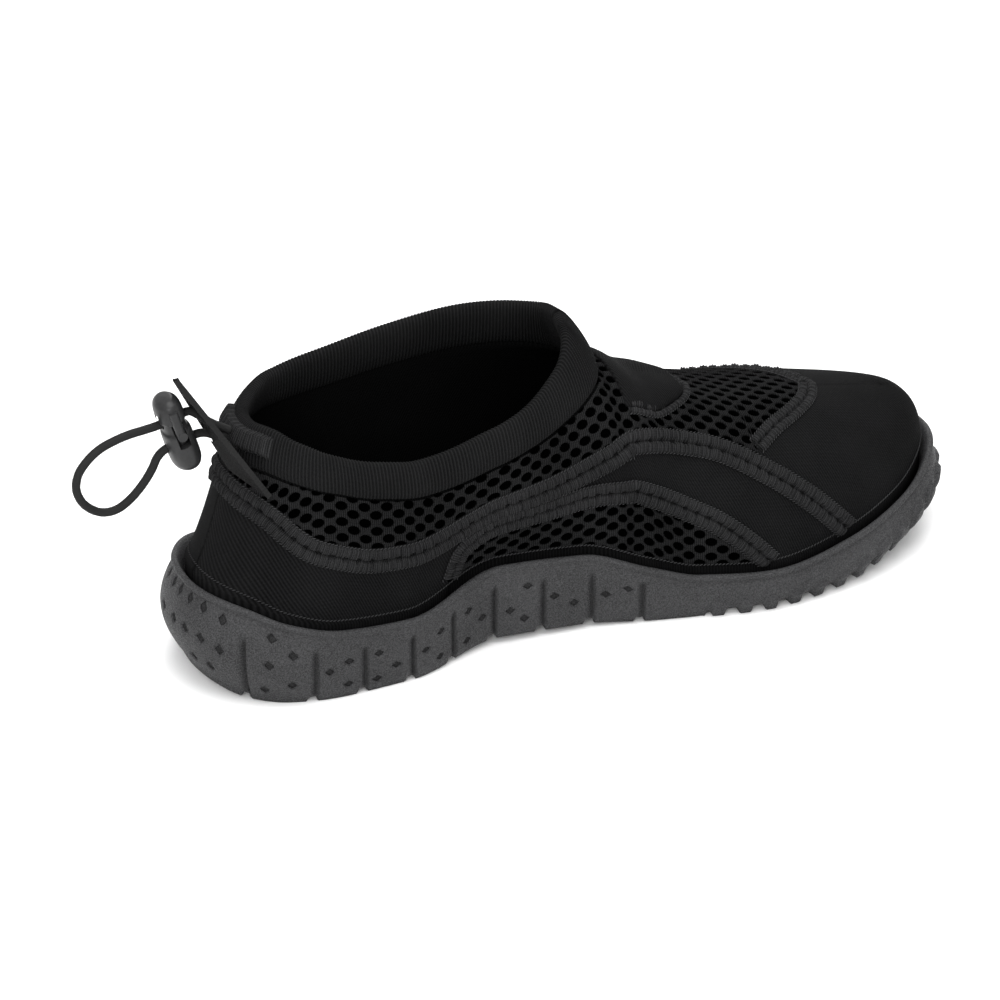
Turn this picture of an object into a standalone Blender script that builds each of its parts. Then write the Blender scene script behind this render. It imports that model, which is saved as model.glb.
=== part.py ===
"""A slip-on water shoe for the left foot, standing empty on its sole.

Metres, +Z up. It is modelled with the heel's back at x = 0 and the toe towards +X, the inner
(medial) side towards -Y and the outer (lateral) side towards +Y. One empty then moves it, so
that the origin lies under the middle of the shoe.
"""

import math

import bmesh
import bpy
import numpy as np
from mathutils import Quaternion, Vector

# Sizes of the whole shoe
SHOE_LENGTH = 0.280
BALL_WIDTH = 0.098
HEEL_WIDTH = 0.075
COLLAR_HEIGHT = 0.086
GAP = 0.0003
FOOT_GAP = 0.0010

# Rubber outsole
SOLE_FLOOR = 0.0075
HEEL_WALL_HEIGHT = 0.037
TOE_SPRING = 0.012
RIM_WALL = 0.0028
LIP_HEIGHT = 0.0026
LIP_REACH = 0.0008
WALL_ROUNDING = 0.006
TREAD_DEPTH = 0.0018
TREAD_EDGE = 0.0010
TREAD_PAD_INSET = 0.011
GROOVE_WIDTH = 0.0022
GROOVE_DEPTH = 0.0013
HEEL_GROOVE = 0.033
GROOVE_FIRST = 0.057
GROOVE_PITCH = 0.0171
GROOVE_COUNT = 8
TOOTH_WIDTH = 0.0042
TOOTH_REACH = 0.0012
TOOTH_PITCH = 0.0094
TOOTH_START = 0.204
BEVEL_RUN = 0.0009
LONGEST_STEP = 0.013

# Cloth upper, insole and collar
UPPER_WALL = 0.0024
INSOLE_THICKNESS = 0.003
TOE_SWING = 0.0045
CUFF_RISE = 0.018
CUFF_LEAN = 0.013
CUFF_THICKNESS = 0.0062

# Tapes sewn on the upper, and the pad in front of the throat
TAPE_THICKNESS = 0.0010
SIDE_TAPE_WIDTH = 0.0085
WINDOW_TAPE_WIDTH = 0.008
TOE_TAPE_WIDTH = 0.0065
TONGUE_TAPE_WIDTH = 0.005
TONGUE_PAD_THICKNESS = 0.0016
PAD_MARGIN = 0.0018
RIM_CLEARANCE = 0.0006
TAPE_GAP = 0.0009
TAPE_STEP = 0.006

# Heel tab, cord tunnel, drawcord and the lock on it
TAB_THICKNESS = 0.0018
TAB_STANDOFF = 0.0030
TAB_LIFT = 0.0038
TAB_TURNS = (-0.56, 0.10)
TAB_TOP_MEDIAL = (0.0045, -0.0070, 0.1110)
TAB_TOP_LATERAL = (0.0085, 0.0060, 0.1045)
CORD_DIAMETER = 0.0027
CORD_CLEARANCE = 0.0005
CORD_STEP = 0.004
TUNNEL_THICKNESS = 0.0014
TUNNEL_TURNS = (-0.72, 0.42)
TUNNEL_ANGLES = (1.25, 2.35)
LOCK_CENTRE = (0.0046, -0.0040, 0.0920)
LOCK_TILT = math.radians(16.3)
LOCK_DEPTH = 0.0100
LOCK_WIDTH = 0.0145
LOCK_MOUTH = 0.0072
BUTTON_TRAVEL = 0.0025
BUTTON_CLEARANCE = 0.0003
BUTTON_FOOT = -0.0079
STRAND_OFFSET = 0.0045
PEG_RADIUS = 0.0016
PEG_HEIGHT = 0.0012

# How finely the pieces are divided, and how flat the cuff's sides are
UPPER_STATIONS = 34
UPPER_ROWS = 11
INSOLE_STATIONS = 30
PAD_STATIONS = 7
TAB_COLUMNS = 5
TAB_ROWS = 6
TUNNEL_STATIONS = 9
TUNNEL_ROWS = 5
CUFF_SIDES = 10
CUFF_FLATNESS = 0.7
LOCK_SIDES = 16
FINE_STEPS = 81
CURVE_STEPS = 20

# Shares of the length where the plan's round ends begin, and how square they are
HEEL_ROUND = 0.16
HEEL_SQUARE = 2.3
TOE_ROUND = 0.24
TOE_SQUARE = 2.25
BULGE_AT = 0.5
THROAT_FRONT = 0.545
THROAT_ROUND = 0.205
THROAT_SQUARE = 2.2
HEEL_FAN = 0.32
TOE_FAN = 0.14
VAMP_SIDE = 0.82
VAMP_CROWN = 0.92


def table(columns, *rows):
    """Named columns, each row being one place along the shoe."""
    return dict(zip(columns.split(), np.array(rows, float).T))


# Half-widths as shares of half the local width, rim heights as shares of the heel wall's,
# floor heights as shares of the toe spring, insets as shares of the wall's rounding.
SOLE = table(
    "share medial lateral medial_rim lateral_rim floor rim_inset foot_inset",
    (0.00, 0.90, 0.93, 1.02, 1.02, 0.38, 0.85, 0.85),
    (0.05, 0.97, 0.98, 0.95, 0.95, 0.06, 0.66, 0.70),
    (0.10, 1.01, 1.00, 0.82, 0.82, 0.00, 0.40, 0.50),
    (0.17, 1.01, 1.00, 0.68, 0.66, 0.00, 0.15, 0.10),
    (0.25, 0.98, 0.98, 0.64, 0.58, 0.00, 0.05, 0.02),
    (0.38, 0.68, 0.93, 0.82, 0.54, 0.20, 0.00, 0.00),
    (0.48, 0.68, 0.96, 0.78, 0.50, 0.14, 0.00, 0.00),
    (0.56, 0.76, 1.00, 0.58, 0.45, 0.03, 0.02, 0.05),
    (0.62, 0.84, 1.02, 0.45, 0.42, 0.00, 0.08, 0.15),
    (0.72, 0.95, 1.00, 0.41, 0.41, 0.00, 0.20, 0.30),
    (0.82, 0.90, 0.97, 0.51, 0.53, 0.10, 0.30, 0.40),
    (0.92, 0.80, 0.90, 0.66, 0.76, 0.45, 0.35, 0.55),
    (1.00, 0.75, 0.86, 0.95, 0.95, 1.00, 0.40, 0.70),
)

# The line where the cuff begins and, ahead of the throat, the crest of the vamp. Reach is the
# share of the way from the middle out to the foot of the wall, height the share of the collar's.
TOP = table(
    "share medial_reach medial_height lateral_reach lateral_height",
    (0.00, 0.62, 0.885, 0.62, 0.885),
    (0.04, 0.64, 0.890, 0.64, 0.890),
    (0.10, 0.74, 0.872, 0.74, 0.885),
    (0.16, 0.89, 0.835, 0.88, 0.885),
    (0.22, 0.93, 0.775, 0.92, 0.900),
    (0.29, 1.00, 0.745, 0.92, 0.925),
    (0.36, 1.18, 0.775, 0.88, 0.950),
    (0.42, 1.12, 0.822, 0.80, 0.970),
    (0.48, 1.02, 0.890, 0.72, 0.987),
    (0.545, 0.96, 1.000, 0.66, 1.000),
    (0.60, 0.96, 0.885, 0.66, 0.885),
    (0.66, 0.96, 0.792, 0.66, 0.792),
    (0.72, 0.96, 0.733, 0.66, 0.733),
    (0.79, 0.96, 0.678, 0.66, 0.678),
    (0.85, 0.96, 0.632, 0.66, 0.632),
    (0.90, 0.96, 0.602, 0.66, 0.602),
    (0.93, 0.96, 0.582, 0.66, 0.582),
)

# How the side wall leans: lean under 1 draws in low down and over 1 near the top, swell is a
# share of the half-width, vamp blends an upright ankle wall (0) into the arched vamp (1).
WALL = table(
    "share lean medial_swell lateral_swell vamp",
    (0.00, 0.75, 0.000, 0.000, 0.00),
    (0.10, 0.90, 0.010, 0.010, 0.00),
    (0.20, 1.30, 0.030, 0.030, 0.00),
    (0.36, 1.40, 0.100, 0.030, 0.35),
    (0.48, 1.20, 0.090, 0.020, 0.95),
    (0.56, 1.00, 0.060, 0.010, 1.00),
    (0.70, 1.00, 0.010, 0.000, 1.00),
    (1.00, 1.00, 0.000, 0.000, 1.00),
)

# The cuff's rise and inward lean, as shares of those at the throat's front
CUFF = table(
    "share medial_rise medial_lean lateral_rise lateral_lean",
    (0.00, 0.70, 0.50, 0.70, 0.50),
    (0.05, 0.70, 0.44, 0.70, 0.46),
    (0.12, 0.70, 0.26, 0.72, 0.34),
    (0.20, 0.66, 0.22, 0.78, 0.18),
    (0.30, 0.64, 0.25, 0.85, 0.15),
    (0.40, 0.66, 0.30, 0.90, 0.20),
    (0.48, 0.82, 0.50, 0.92, 0.40),
    (0.52, 0.94, 0.80, 0.96, 0.75),
    (0.545, 1.00, 1.00, 1.00, 1.00),
)

# Where the tapes run on each side: heights as shares of the collar's
SIDE_TAPE = table(
    "share height",
    (0.000, 0.800),
    (0.068, 0.738),
    (0.145, 0.630),
    (0.210, 0.595),
    (0.290, 0.632),
    (0.380, 0.683),
    (0.470, 0.715),
    (0.555, 0.727),
    (0.642, 0.666),
    (0.715, 0.545),
    (0.772, 0.408),
    (0.826, 0.245),
)
WINDOW_TAPE = table(
    "share height",
    (0.315, 0.310),
    (0.330, 0.478),
    (0.385, 0.555),
    (0.467, 0.570),
    (0.548, 0.522),
    (0.629, 0.414),
    (0.683, 0.278),
    (0.712, 0.185),
)
# The toe and tongue tapes cross the crest: rise is the share of the way up the upper
TOE_TAPE = table(
    "share rise",
    (0.712, 0.590),
    (0.745, 0.690),
    (0.780, 0.775),
    (0.812, 0.880),
    (0.832, 1.000),
)
TONGUE_TAPE = table(
    "share rise",
    (0.556, 0.660),
    (0.590, 0.720),
    (0.620, 0.810),
    (0.648, 0.915),
    (0.662, 1.000),
)

# The drawcord's route, in metres: out of the sleeve, through tab and lock, round the free loop
# and back
CORD_ROUTE = (
    (0.0224, -0.004, 0.0880),
    (0.0190, -0.004, 0.0902),
    (0.0154, -0.004, 0.0928),
    (0.0118, -0.004, 0.0962),
    (0.0086, -0.004, 0.0979),
    (0.0033, -0.004, 0.0963),
    (-0.0012, -0.004, 0.0951),
    (-0.0057, -0.004, 0.0945),
    (-0.0107, -0.004, 0.0940),
    (-0.0157, -0.004, 0.0929),
    (-0.0208, -0.004, 0.0910),
    (-0.0250, -0.004, 0.0879),
    (-0.0282, -0.004, 0.0838),
    (-0.0293, -0.004, 0.0790),
    (-0.0281, -0.004, 0.0743),
    (-0.0252, -0.004, 0.0706),
    (-0.0210, -0.004, 0.0682),
    (-0.0162, -0.004, 0.0683),
    (-0.0116, -0.004, 0.0710),
    (-0.0074, -0.004, 0.0752),
    (-0.0042, -0.004, 0.0797),
    (-0.0022, -0.004, 0.0836),
    (0.0002, -0.004, 0.0858),
    (0.0030, -0.004, 0.0868),
    (0.0059, -0.004, 0.0877),
    (0.0112, -0.004, 0.0892),
    (0.0146, -0.004, 0.0888),
    (0.0178, -0.004, 0.0870),
    (0.0208, -0.004, 0.0846),
)


def read(rows, column, share):
    """A column's value at a share of the length, on a curve that never swings past its rows."""
    at, value = rows["share"], rows[column]
    step = np.diff(at)
    rise = np.diff(value) / step
    slope = np.concatenate([rise[:1], np.zeros(len(rise) - 1), rise[-1:]])
    before, after = 2 * step[1:] + step[:-1], step[1:] + 2 * step[:-1]
    same = np.flatnonzero(rise[:-1] * rise[1:] > 0)
    mean = before[same] / rise[:-1][same] + after[same] / rise[1:][same]
    slope[same + 1] = (before[same] + after[same]) / mean
    share = np.clip(share, at[0], at[-1])
    i = np.clip(np.searchsorted(at, share, side="right") - 1, 0, len(step) - 1)
    k = (share - at[i]) / step[i]
    start = value[i] * (1 + 2 * k) + slope[i] * step[i] * k
    end = value[i + 1] * (3 - 2 * k) - slope[i + 1] * step[i] * (1 - k)
    return start * (1 - k) ** 2 + end * k**2


def by_side(rows, column, share, turn):
    """A column that has a medial and a lateral version."""
    medial = read(rows, "medial" + column, share)
    lateral = read(rows, "lateral" + column, share)
    return np.where(turn < 0, medial, lateral)


def ease(value):
    k = np.clip(value, 0, 1)
    return k * k * (3 - 2 * k)


def wrapped(turn):
    """Turn runs round the shoe: 0 at the heel's back, medial below 0, pi at the toe's tip."""
    return (np.asarray(turn, float) + math.pi) % (2 * math.pi) - math.pi


def share_of(turn):
    return (1 - np.cos(turn)) / 2


def turn_of(share):
    return np.arccos(1 - 2 * np.asarray(share, float))


def middle(share):
    """The middle line's y: it swings to the medial side towards the toe."""
    return -TOE_SWING * np.clip((share - 0.55) / 0.45, 0, 1) ** 2


def plan(turn):
    """The sole's widest line, seen from above."""
    turn = wrapped(turn)
    share = share_of(turn)
    heel = np.clip(1 - share / HEEL_ROUND, 0, 1) ** HEEL_SQUARE
    toe = np.clip(1 - (1 - share) / TOE_ROUND, 0, 1) ** TOE_SQUARE
    ends = (1 - heel) ** (1 / HEEL_SQUARE) * (1 - toe) ** (1 / TOE_SQUARE)
    local = HEEL_WIDTH + (BALL_WIDTH - HEEL_WIDTH) * ease((share - 0.2) / 0.42)
    half = by_side(SOLE, "", share, turn) * local / 2 * ends
    return np.stack([share * SHOE_LENGTH, middle(share) + np.sign(turn) * half], -1)


def outward(turn):
    """The plan's outward normal."""
    tiny = 1e-4
    along = plan(np.asarray(turn) + tiny) - plan(np.asarray(turn) - tiny)
    normal = np.stack([-along[..., 1], along[..., 0]], -1)
    return normal / np.linalg.norm(normal, axis=-1, keepdims=True)


def inset_plan(turn, inset):
    return plan(turn) - outward(turn) * np.asarray(inset)[..., None]


def rim_height(turn):
    turn = wrapped(turn)
    return HEEL_WALL_HEIGHT * by_side(SOLE, "_rim", share_of(turn), turn)


def ground_height(turn):
    return TOE_SPRING * read(SOLE, "floor", share_of(turn))


def floor_height(turn):
    """The floor of the sole's recess."""
    return ground_height(turn) + SOLE_FLOOR


def rim_inset(turn):
    return WALL_ROUNDING * read(SOLE, "rim_inset", share_of(turn))


def recess_inset(turn):
    return rim_inset(turn) + RIM_WALL


def upper_foot(turn):
    """The upper's outer side where it goes down inside the sole."""
    return inset_plan(turn, recess_inset(turn) + FOOT_GAP)


def place(flat, height):
    return np.concatenate([flat, np.asarray(height)[..., None]], -1)


def spine_share(share):
    """Where a section's plane meets the middle line: planes fan out round heel and toe."""
    heel = np.clip((HEEL_FAN - share) / HEEL_FAN, 0, 1)
    toe = np.clip((share - 1 + TOE_FAN) / TOE_FAN, 0, 1)
    share = np.where(heel > 0, HEEL_FAN * (1 - heel + heel**2 / 2), share)
    return np.where(toe > 0, 1 - TOE_FAN + TOE_FAN * (toe - toe**2 / 2), share)


def upper_at(turn, rise):
    """The upper's outer surface: rise is 0 at the sole's rim, 1 at the cuff or the crest."""
    turn = wrapped(turn)
    share = share_of(turn)
    foot = upper_foot(turn)
    spine = spine_share(share)
    axis = np.stack([spine * SHOE_LENGTH, middle(spine)], -1)
    low = rim_height(turn)
    key = np.where(share > THROAT_FRONT, spine, share)
    top = COLLAR_HEIGHT * by_side(TOP, "_height", key, turn)
    closing = np.clip((share - THROAT_FRONT + THROAT_ROUND) / THROAT_ROUND, 0, 1)
    throat = (1 - closing**THROAT_SQUARE) ** (1 / THROAT_SQUARE)
    reach = by_side(TOP, "_reach", share, turn) * throat
    swell = by_side(WALL, "_swell", share, turn) * np.sin(math.pi * rise)
    vamp = read(WALL, "vamp", share)
    upright = 1 + (reach - 1) * rise ** read(WALL, "lean", share)
    last_angle = np.arccos(np.clip(reach, 0, 1) ** (1 / VAMP_SIDE))
    last_angle = np.maximum(last_angle, 0.3)
    angle = last_angle * rise
    arched = np.clip(np.cos(angle), 0, 1) ** VAMP_SIDE
    arched = arched + (reach - np.cos(last_angle) ** VAMP_SIDE) * rise
    arched_height = (np.sin(angle) / np.sin(last_angle)) ** VAMP_CROWN
    out = upright * (1 - vamp) + arched * vamp + swell
    height = rise * (1 - vamp) + arched_height * vamp
    flat = axis + (foot - axis) * out[..., None]
    return place(flat, low + (top - low) * height)


def unit(vectors):
    return vectors / np.linalg.norm(vectors, axis=-1, keepdims=True)


def upper_normal(turn, rise):
    tiny = 1e-3
    rise = np.clip(rise, tiny, 1 - tiny)
    round_it = upper_at(turn + tiny, rise) - upper_at(turn - tiny, rise)
    up_it = upper_at(turn, rise + tiny) - upper_at(turn, rise - tiny)
    return unit(np.cross(up_it, round_it))


# Building meshes


def collection_named(name):
    found = bpy.data.collections.new(name)
    bpy.context.scene.collection.children.link(found)
    return found


def finish(name, colour, roughness):
    material = bpy.data.materials.new(name)
    material.use_nodes = True
    shader = material.node_tree.nodes["Principled BSDF"]
    shader.inputs["Base Color"].default_value = (*colour, 1)
    shader.inputs["Roughness"].default_value = roughness
    shader.inputs["Metallic"].default_value = 0
    return material


def add_object(name, points, faces, material):
    """A mesh object from points and faces, with points that meet made one."""
    mesh = bpy.data.meshes.new(name)
    mesh.from_pydata([tuple(point) for point in points], [], [tuple(face) for face in faces])
    work = bmesh.new()
    work.from_mesh(mesh)
    bmesh.ops.remove_doubles(work, verts=work.verts, dist=1e-6)
    bmesh.ops.dissolve_degenerate(work, edges=work.edges, dist=1e-7)
    work.to_mesh(mesh)
    work.free()
    mesh.shade_smooth()
    mesh.set_sharp_from_angle(angle=math.radians(40))
    mesh.materials.append(material)
    made = bpy.data.objects.new(name, mesh)
    parts.objects.link(made)
    made.parent = origin
    return made


def face_out(made):
    """Turns a closed mesh's faces outwards."""
    work = bmesh.new()
    work.from_mesh(made.data)
    bmesh.ops.recalc_face_normals(work, faces=work.faces)
    if work.calc_volume(signed=True) < 0:
        bmesh.ops.reverse_faces(work, faces=work.faces)
    work.to_mesh(made.data)
    work.free()


def bands(rows, count, closed):
    """Quads between neighbouring rows of points, each row holding count points."""
    last = count if closed else count - 1
    for row in range(rows - 1):
        for i in range(last):
            j = (i + 1) % count
            yield (row * count + i, row * count + j, (row + 1) * count + j, (row + 1) * count + i)


def rungs(first, count):
    """Faces that close a loop, from its medial to its lateral half."""
    half = count // 2
    yield (first, first + 1, first + count - 1)
    for i in range(1, half - 1):
        yield (first + i, first + i + 1, first + count - i - 1, first + count - i)
    yield (first + half - 1, first + half, first + half + 1)


def both_sides(turns):
    """All the way round, from the toe by the medial side: turns runs from 0 to pi."""
    return np.concatenate([-turns[:0:-1], turns[:-1]])


# Stations along the sole's edge


def edge_ruler():
    """Turns and the distances from the heel's back that they have reached along the edge."""
    turns = np.linspace(0, math.pi, 2001)
    steps = np.linalg.norm(np.diff(plan(-turns), axis=0), axis=1)
    return turns, np.concatenate([[0], np.cumsum(steps)])


def sole_stations():
    """Turns from heel to toe, and how far each is cut as a groove and stands as a tooth."""
    turns, reached = edge_ruler()
    rows = [(0.0, 0, 1), (reached[-1], 0, 0)]
    cut_half, tooth_half = GROOVE_WIDTH / 2, TOOTH_WIDTH / 2
    for at in [HEEL_GROOVE] + [GROOVE_FIRST + i * GROOVE_PITCH for i in range(GROOVE_COUNT)]:
        for side in (-1, 1):
            rows.append((at + side * cut_half, 1, 1))
            rows.append((at + side * (cut_half + BEVEL_RUN), 0, 1))
    at = TOOTH_START
    while at + tooth_half + BEVEL_RUN < reached[-1]:
        for side in (-1, 1):
            rows.append((at + side * tooth_half, 0, 1))
            rows.append((at + side * (tooth_half + BEVEL_RUN), 0, 0))
        at += TOOTH_PITCH
    rows = np.array(sorted(rows))
    spots = [rows[0]]
    for start, end in zip(rows[:-1], rows[1:]):
        pieces = max(1, math.ceil((end[0] - start[0]) / LONGEST_STEP))
        spots += [start + (end - start) * i / pieces for i in range(1, pieces + 1)]
    distance, cut, stand = np.array(spots).T
    return np.interp(distance, reached, turns), cut, stand


def mirrored(values):
    """A value at each of both_sides' stations."""
    return np.concatenate([values[:0:-1], values[:-1]])


def sole_wall_inset(turn, share):
    """How far the outer wall stands inside its widest line at a share of its height."""
    low = np.clip(1 - share / BULGE_AT, 0, 1) ** 2 * read(SOLE, "foot_inset", share_of(turn))
    high = np.clip((share - BULGE_AT) / (1 - BULGE_AT), 0, 1) ** 2
    return WALL_ROUNDING * (low + high * read(SOLE, "rim_inset", share_of(turn)))


def make_outsole():
    turns, cut, stand = sole_stations()
    turn, cut, stand = both_sides(turns), mirrored(cut), mirrored(stand)
    toe_part = share_of(turn) > share_of(np.interp(TOOTH_START, *edge_ruler()[::-1]))
    ground = ground_height(turn)
    raised = ground + TREAD_DEPTH * np.where(toe_part, 1 - stand, cut)
    tooth = np.where(toe_part, stand, 0) * TOOTH_REACH
    rim = rim_height(turn)
    foot = WALL_ROUNDING * read(SOLE, "foot_inset", share_of(turn))
    loops = [
        place(inset_plan(turn, foot + TREAD_PAD_INSET), raised),
        place(inset_plan(turn, foot + TREAD_EDGE - tooth), raised),
    ]
    low, high = ground + TREAD_DEPTH + TREAD_EDGE, rim - LIP_HEIGHT
    for share, groove in ((0.0, 1.0), (0.25, 1.0), (BULGE_AT, 1.0), (0.8, 0.15), (1.0, 0.0)):
        inset = sole_wall_inset(turn, share) + groove * GROOVE_DEPTH * cut
        if share == 0:
            inset = inset - tooth
        loops.append(place(inset_plan(turn, inset), low + (high - low) * share))
    inner = recess_inset(turn)
    loops += [
        place(inset_plan(turn, rim_inset(turn) - LIP_REACH), rim - LIP_HEIGHT / 2),
        place(inset_plan(turn, rim_inset(turn) + RIM_WALL / 3), rim),
        place(inset_plan(turn, inner), rim - LIP_HEIGHT / 3),
        place(inset_plan(turn, inner), floor_height(turn)),
    ]
    count = len(turn)
    faces = list(bands(len(loops), count, True))
    faces += [face[::-1] for face in rungs(0, count)]
    faces += list(rungs((len(loops) - 1) * count, count))
    made = add_object("outsole", np.concatenate(loops), faces, rubber)
    face_out(made)
    return made


def upper_turns():
    """Turns from heel to toe, closer together where the throat's front closes."""
    even = np.linspace(0, math.pi, UPPER_STATIONS)
    front = turn_of(THROAT_FRONT - THROAT_ROUND * np.array([0.30, 0.14, 0.05, 0.012, 0.0]))
    clear = (even < front[0] - 0.04) | (even > front[-1] + 0.04)
    return np.sort(np.concatenate([even[clear], front]))


def make_upper():
    turn = both_sides(upper_turns())
    count = len(turn)
    rows = [place(upper_foot(turn), floor_height(turn) + GAP)]
    rows += [upper_at(turn, np.full(count, rise)) for rise in np.linspace(0, 1, UPPER_ROWS)]
    rows[1][:, 2] += GAP
    faces = [face[::-1] for face in bands(len(rows), count, True)]
    made = add_object("upper", np.concatenate(rows), faces, cloth)
    wall = made.modifiers.new("wall", "SOLIDIFY")
    wall.thickness = UPPER_WALL
    wall.offset = -1
    wall.use_even_offset = True


def make_insole():
    turn = both_sides(np.linspace(0, math.pi, INSOLE_STATIONS))
    flat = inset_plan(turn, recess_inset(turn) + UPPER_WALL + 2 * FOOT_GAP)
    low = floor_height(turn) + GAP
    loops = [place(flat, low), place(flat, low + INSOLE_THICKNESS)]
    count = len(turn)
    faces = list(bands(2, count, True))
    faces += [face[::-1] for face in rungs(0, count)]
    faces += list(rungs(count, count))
    face_out(add_object("insole", np.concatenate(loops), faces, foam))


def throat_turns():
    """Once round the throat, from its front by the medial side and the heel."""
    turns = upper_turns()
    turns = turns[turns <= turn_of(THROAT_FRONT) + 1e-9]
    return np.concatenate([-turns[::-1], turns[1:-1]])


def loop_normals(flat):
    """Outward normals of a closed loop seen from above."""
    along = np.roll(flat, -1, axis=0) - np.roll(flat, 1, axis=0)
    return unit(np.stack([-along[:, 1], along[:, 0]], -1))


def cuff_frames(turn):
    """The cuff's foot, its direction up and its direction out, at each turn round the throat."""
    seam = upper_at(turn, np.ones(len(turn)))
    out = place(loop_normals(seam[:, :2]), np.zeros(len(turn)))
    share = share_of(turn)
    rise = CUFF_RISE * by_side(CUFF, "_rise", share, turn)
    lean = CUFF_LEAN * by_side(CUFF, "_lean", share, turn)
    upright = np.array([0, 0, 1.0])
    foot = seam - out * UPPER_WALL / 2 + upright * GAP
    up = rise[:, None] * upright - lean[:, None] * out
    across = unit(rise[:, None] * out + lean[:, None] * upright)
    return foot, up, across


def cuff_row(foot, up, across, angle):
    """A line round the cuff's roll: angle 0 is its foot, and it goes up the outer side."""
    bulge = math.copysign(abs(math.sin(angle)) ** CUFF_FLATNESS, math.sin(angle))
    return foot + up * (1 - math.cos(angle)) / 2 + across * bulge * CUFF_THICKNESS / 2


def make_collar():
    turn = throat_turns()
    foot, up, across = cuff_frames(turn)
    angles = np.linspace(0, 2 * math.pi, CUFF_SIDES, endpoint=False)
    rows = [cuff_row(foot, up, across, angle) for angle in angles]
    rows.append(rows[0])
    faces = list(bands(len(rows), len(turn), True))
    face_out(add_object("collar", np.concatenate(rows), faces, knit))


def rise_at(turn, height):
    """How far up the upper a height is, at each turn."""
    rises = np.linspace(0, 1, FINE_STEPS)
    found = []
    for one_turn, one_height in zip(turn, height):
        heights = upper_at(np.full(len(rises), one_turn), rises)[:, 2]
        found.append(np.interp(one_height, heights, rises))
    return np.array(found)


def lowest_rise(turn):
    return rise_at(turn, rim_height(turn) + RIM_CLEARANCE)


def beside(turn, rise, across, distance):
    """The turn and rise that lie a distance away on the surface, in the direction across."""
    tiny = 1e-4
    for _ in range(2):
        rise = np.clip(rise, 10 * tiny, 1)
        here = upper_at(turn, rise)
        by_turn = (upper_at(turn + tiny, rise) - here) / tiny
        by_rise = (here - upper_at(turn, rise - tiny)) / tiny
        a = np.sum(by_turn * by_turn, axis=1)
        b = np.sum(by_turn * by_rise, axis=1)
        c = np.sum(by_rise * by_rise, axis=1)
        wanted = across * distance / 2
        u = np.sum(by_turn * wanted, axis=1)
        v = np.sum(by_rise * wanted, axis=1)
        scale = a * c - b * b
        turn = turn + (c * u - b * v) / scale
        rise = rise + (a * v - b * u) / scale
    return turn, np.clip(rise, lowest_rise(turn), 1)


def strip(name, turn, rise, width, thickness, material):
    """A band of cloth that lies on the upper along a path of turns and rises."""
    here = upper_at(turn, rise)
    along = unit(np.gradient(here, axis=0))
    across = unit(np.cross(upper_normal(turn, rise), along))
    low, high = [], []
    for side in (-1, 0, 1):
        edge_turn, edge_rise = beside(turn, rise, across, side * width / 2)
        surface = upper_at(edge_turn, edge_rise)
        normal = upper_normal(edge_turn, edge_rise)
        low.append(surface + normal * TAPE_GAP)
        high.append(surface + normal * (TAPE_GAP + thickness))
    rows = low + high[::-1]
    return section_loft(name, np.stack(rows, 1), material)


def section_loft(name, sections, material):
    """A closed solid through sections, each with the same number of points."""
    steps, count = sections.shape[:2]
    faces = list(bands(steps, count, True))
    faces.append(tuple(range(count))[::-1])
    faces.append(tuple(range((steps - 1) * count, steps * count)))
    made = add_object(name, sections.reshape(-1, 3), faces, material)
    face_out(made)
    return made


def spread(rows, step):
    """Values along a table's path, evenly spaced over its length on the shoe."""
    height = next(values for name, values in rows.items() if name != "share")
    chord = np.hypot(np.diff(rows["share"]) * SHOE_LENGTH, np.diff(height) * COLLAR_HEIGHT)
    way = np.concatenate([[0], np.cumsum(chord)])
    along = {"share": way / way[-1], "place": rows["share"], "value": height}
    count = max(4, round(way[-1] / step))
    k = np.linspace(0, 1, count + 1)
    return read(along, "place", k), read(along, "value", k)


def make_side_tape():
    share, height = spread(SIDE_TAPE, TAPE_STEP)
    turn = turn_of(share)
    turn = np.concatenate([-turn[:0:-1], turn])
    height = COLLAR_HEIGHT * np.concatenate([height[:0:-1], height])
    rise = np.maximum(rise_at(turn, height), lowest_rise(turn))
    strip("side_tape", turn, rise, SIDE_TAPE_WIDTH, TAPE_THICKNESS, tape)


def make_window_tape(name, side):
    share, height = spread(WINDOW_TAPE, TAPE_STEP)
    turn = side * turn_of(share)
    rise = np.maximum(rise_at(turn, COLLAR_HEIGHT * height), lowest_rise(turn))
    strip(name, turn, rise, WINDOW_TAPE_WIDTH, TAPE_THICKNESS, tape)


def crossing(rows, step):
    """A path that goes over the crest from the medial to the lateral side."""
    share, rise = spread(rows, step)
    turn = turn_of(share)
    return np.concatenate([-turn, turn[-2::-1]]), np.concatenate([rise, rise[-2::-1]])


def make_crossing_tape(name, rows, width):
    turn, rise = crossing(rows, TAPE_STEP)
    strip(name, turn, rise, width, TAPE_THICKNESS, tape)


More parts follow.
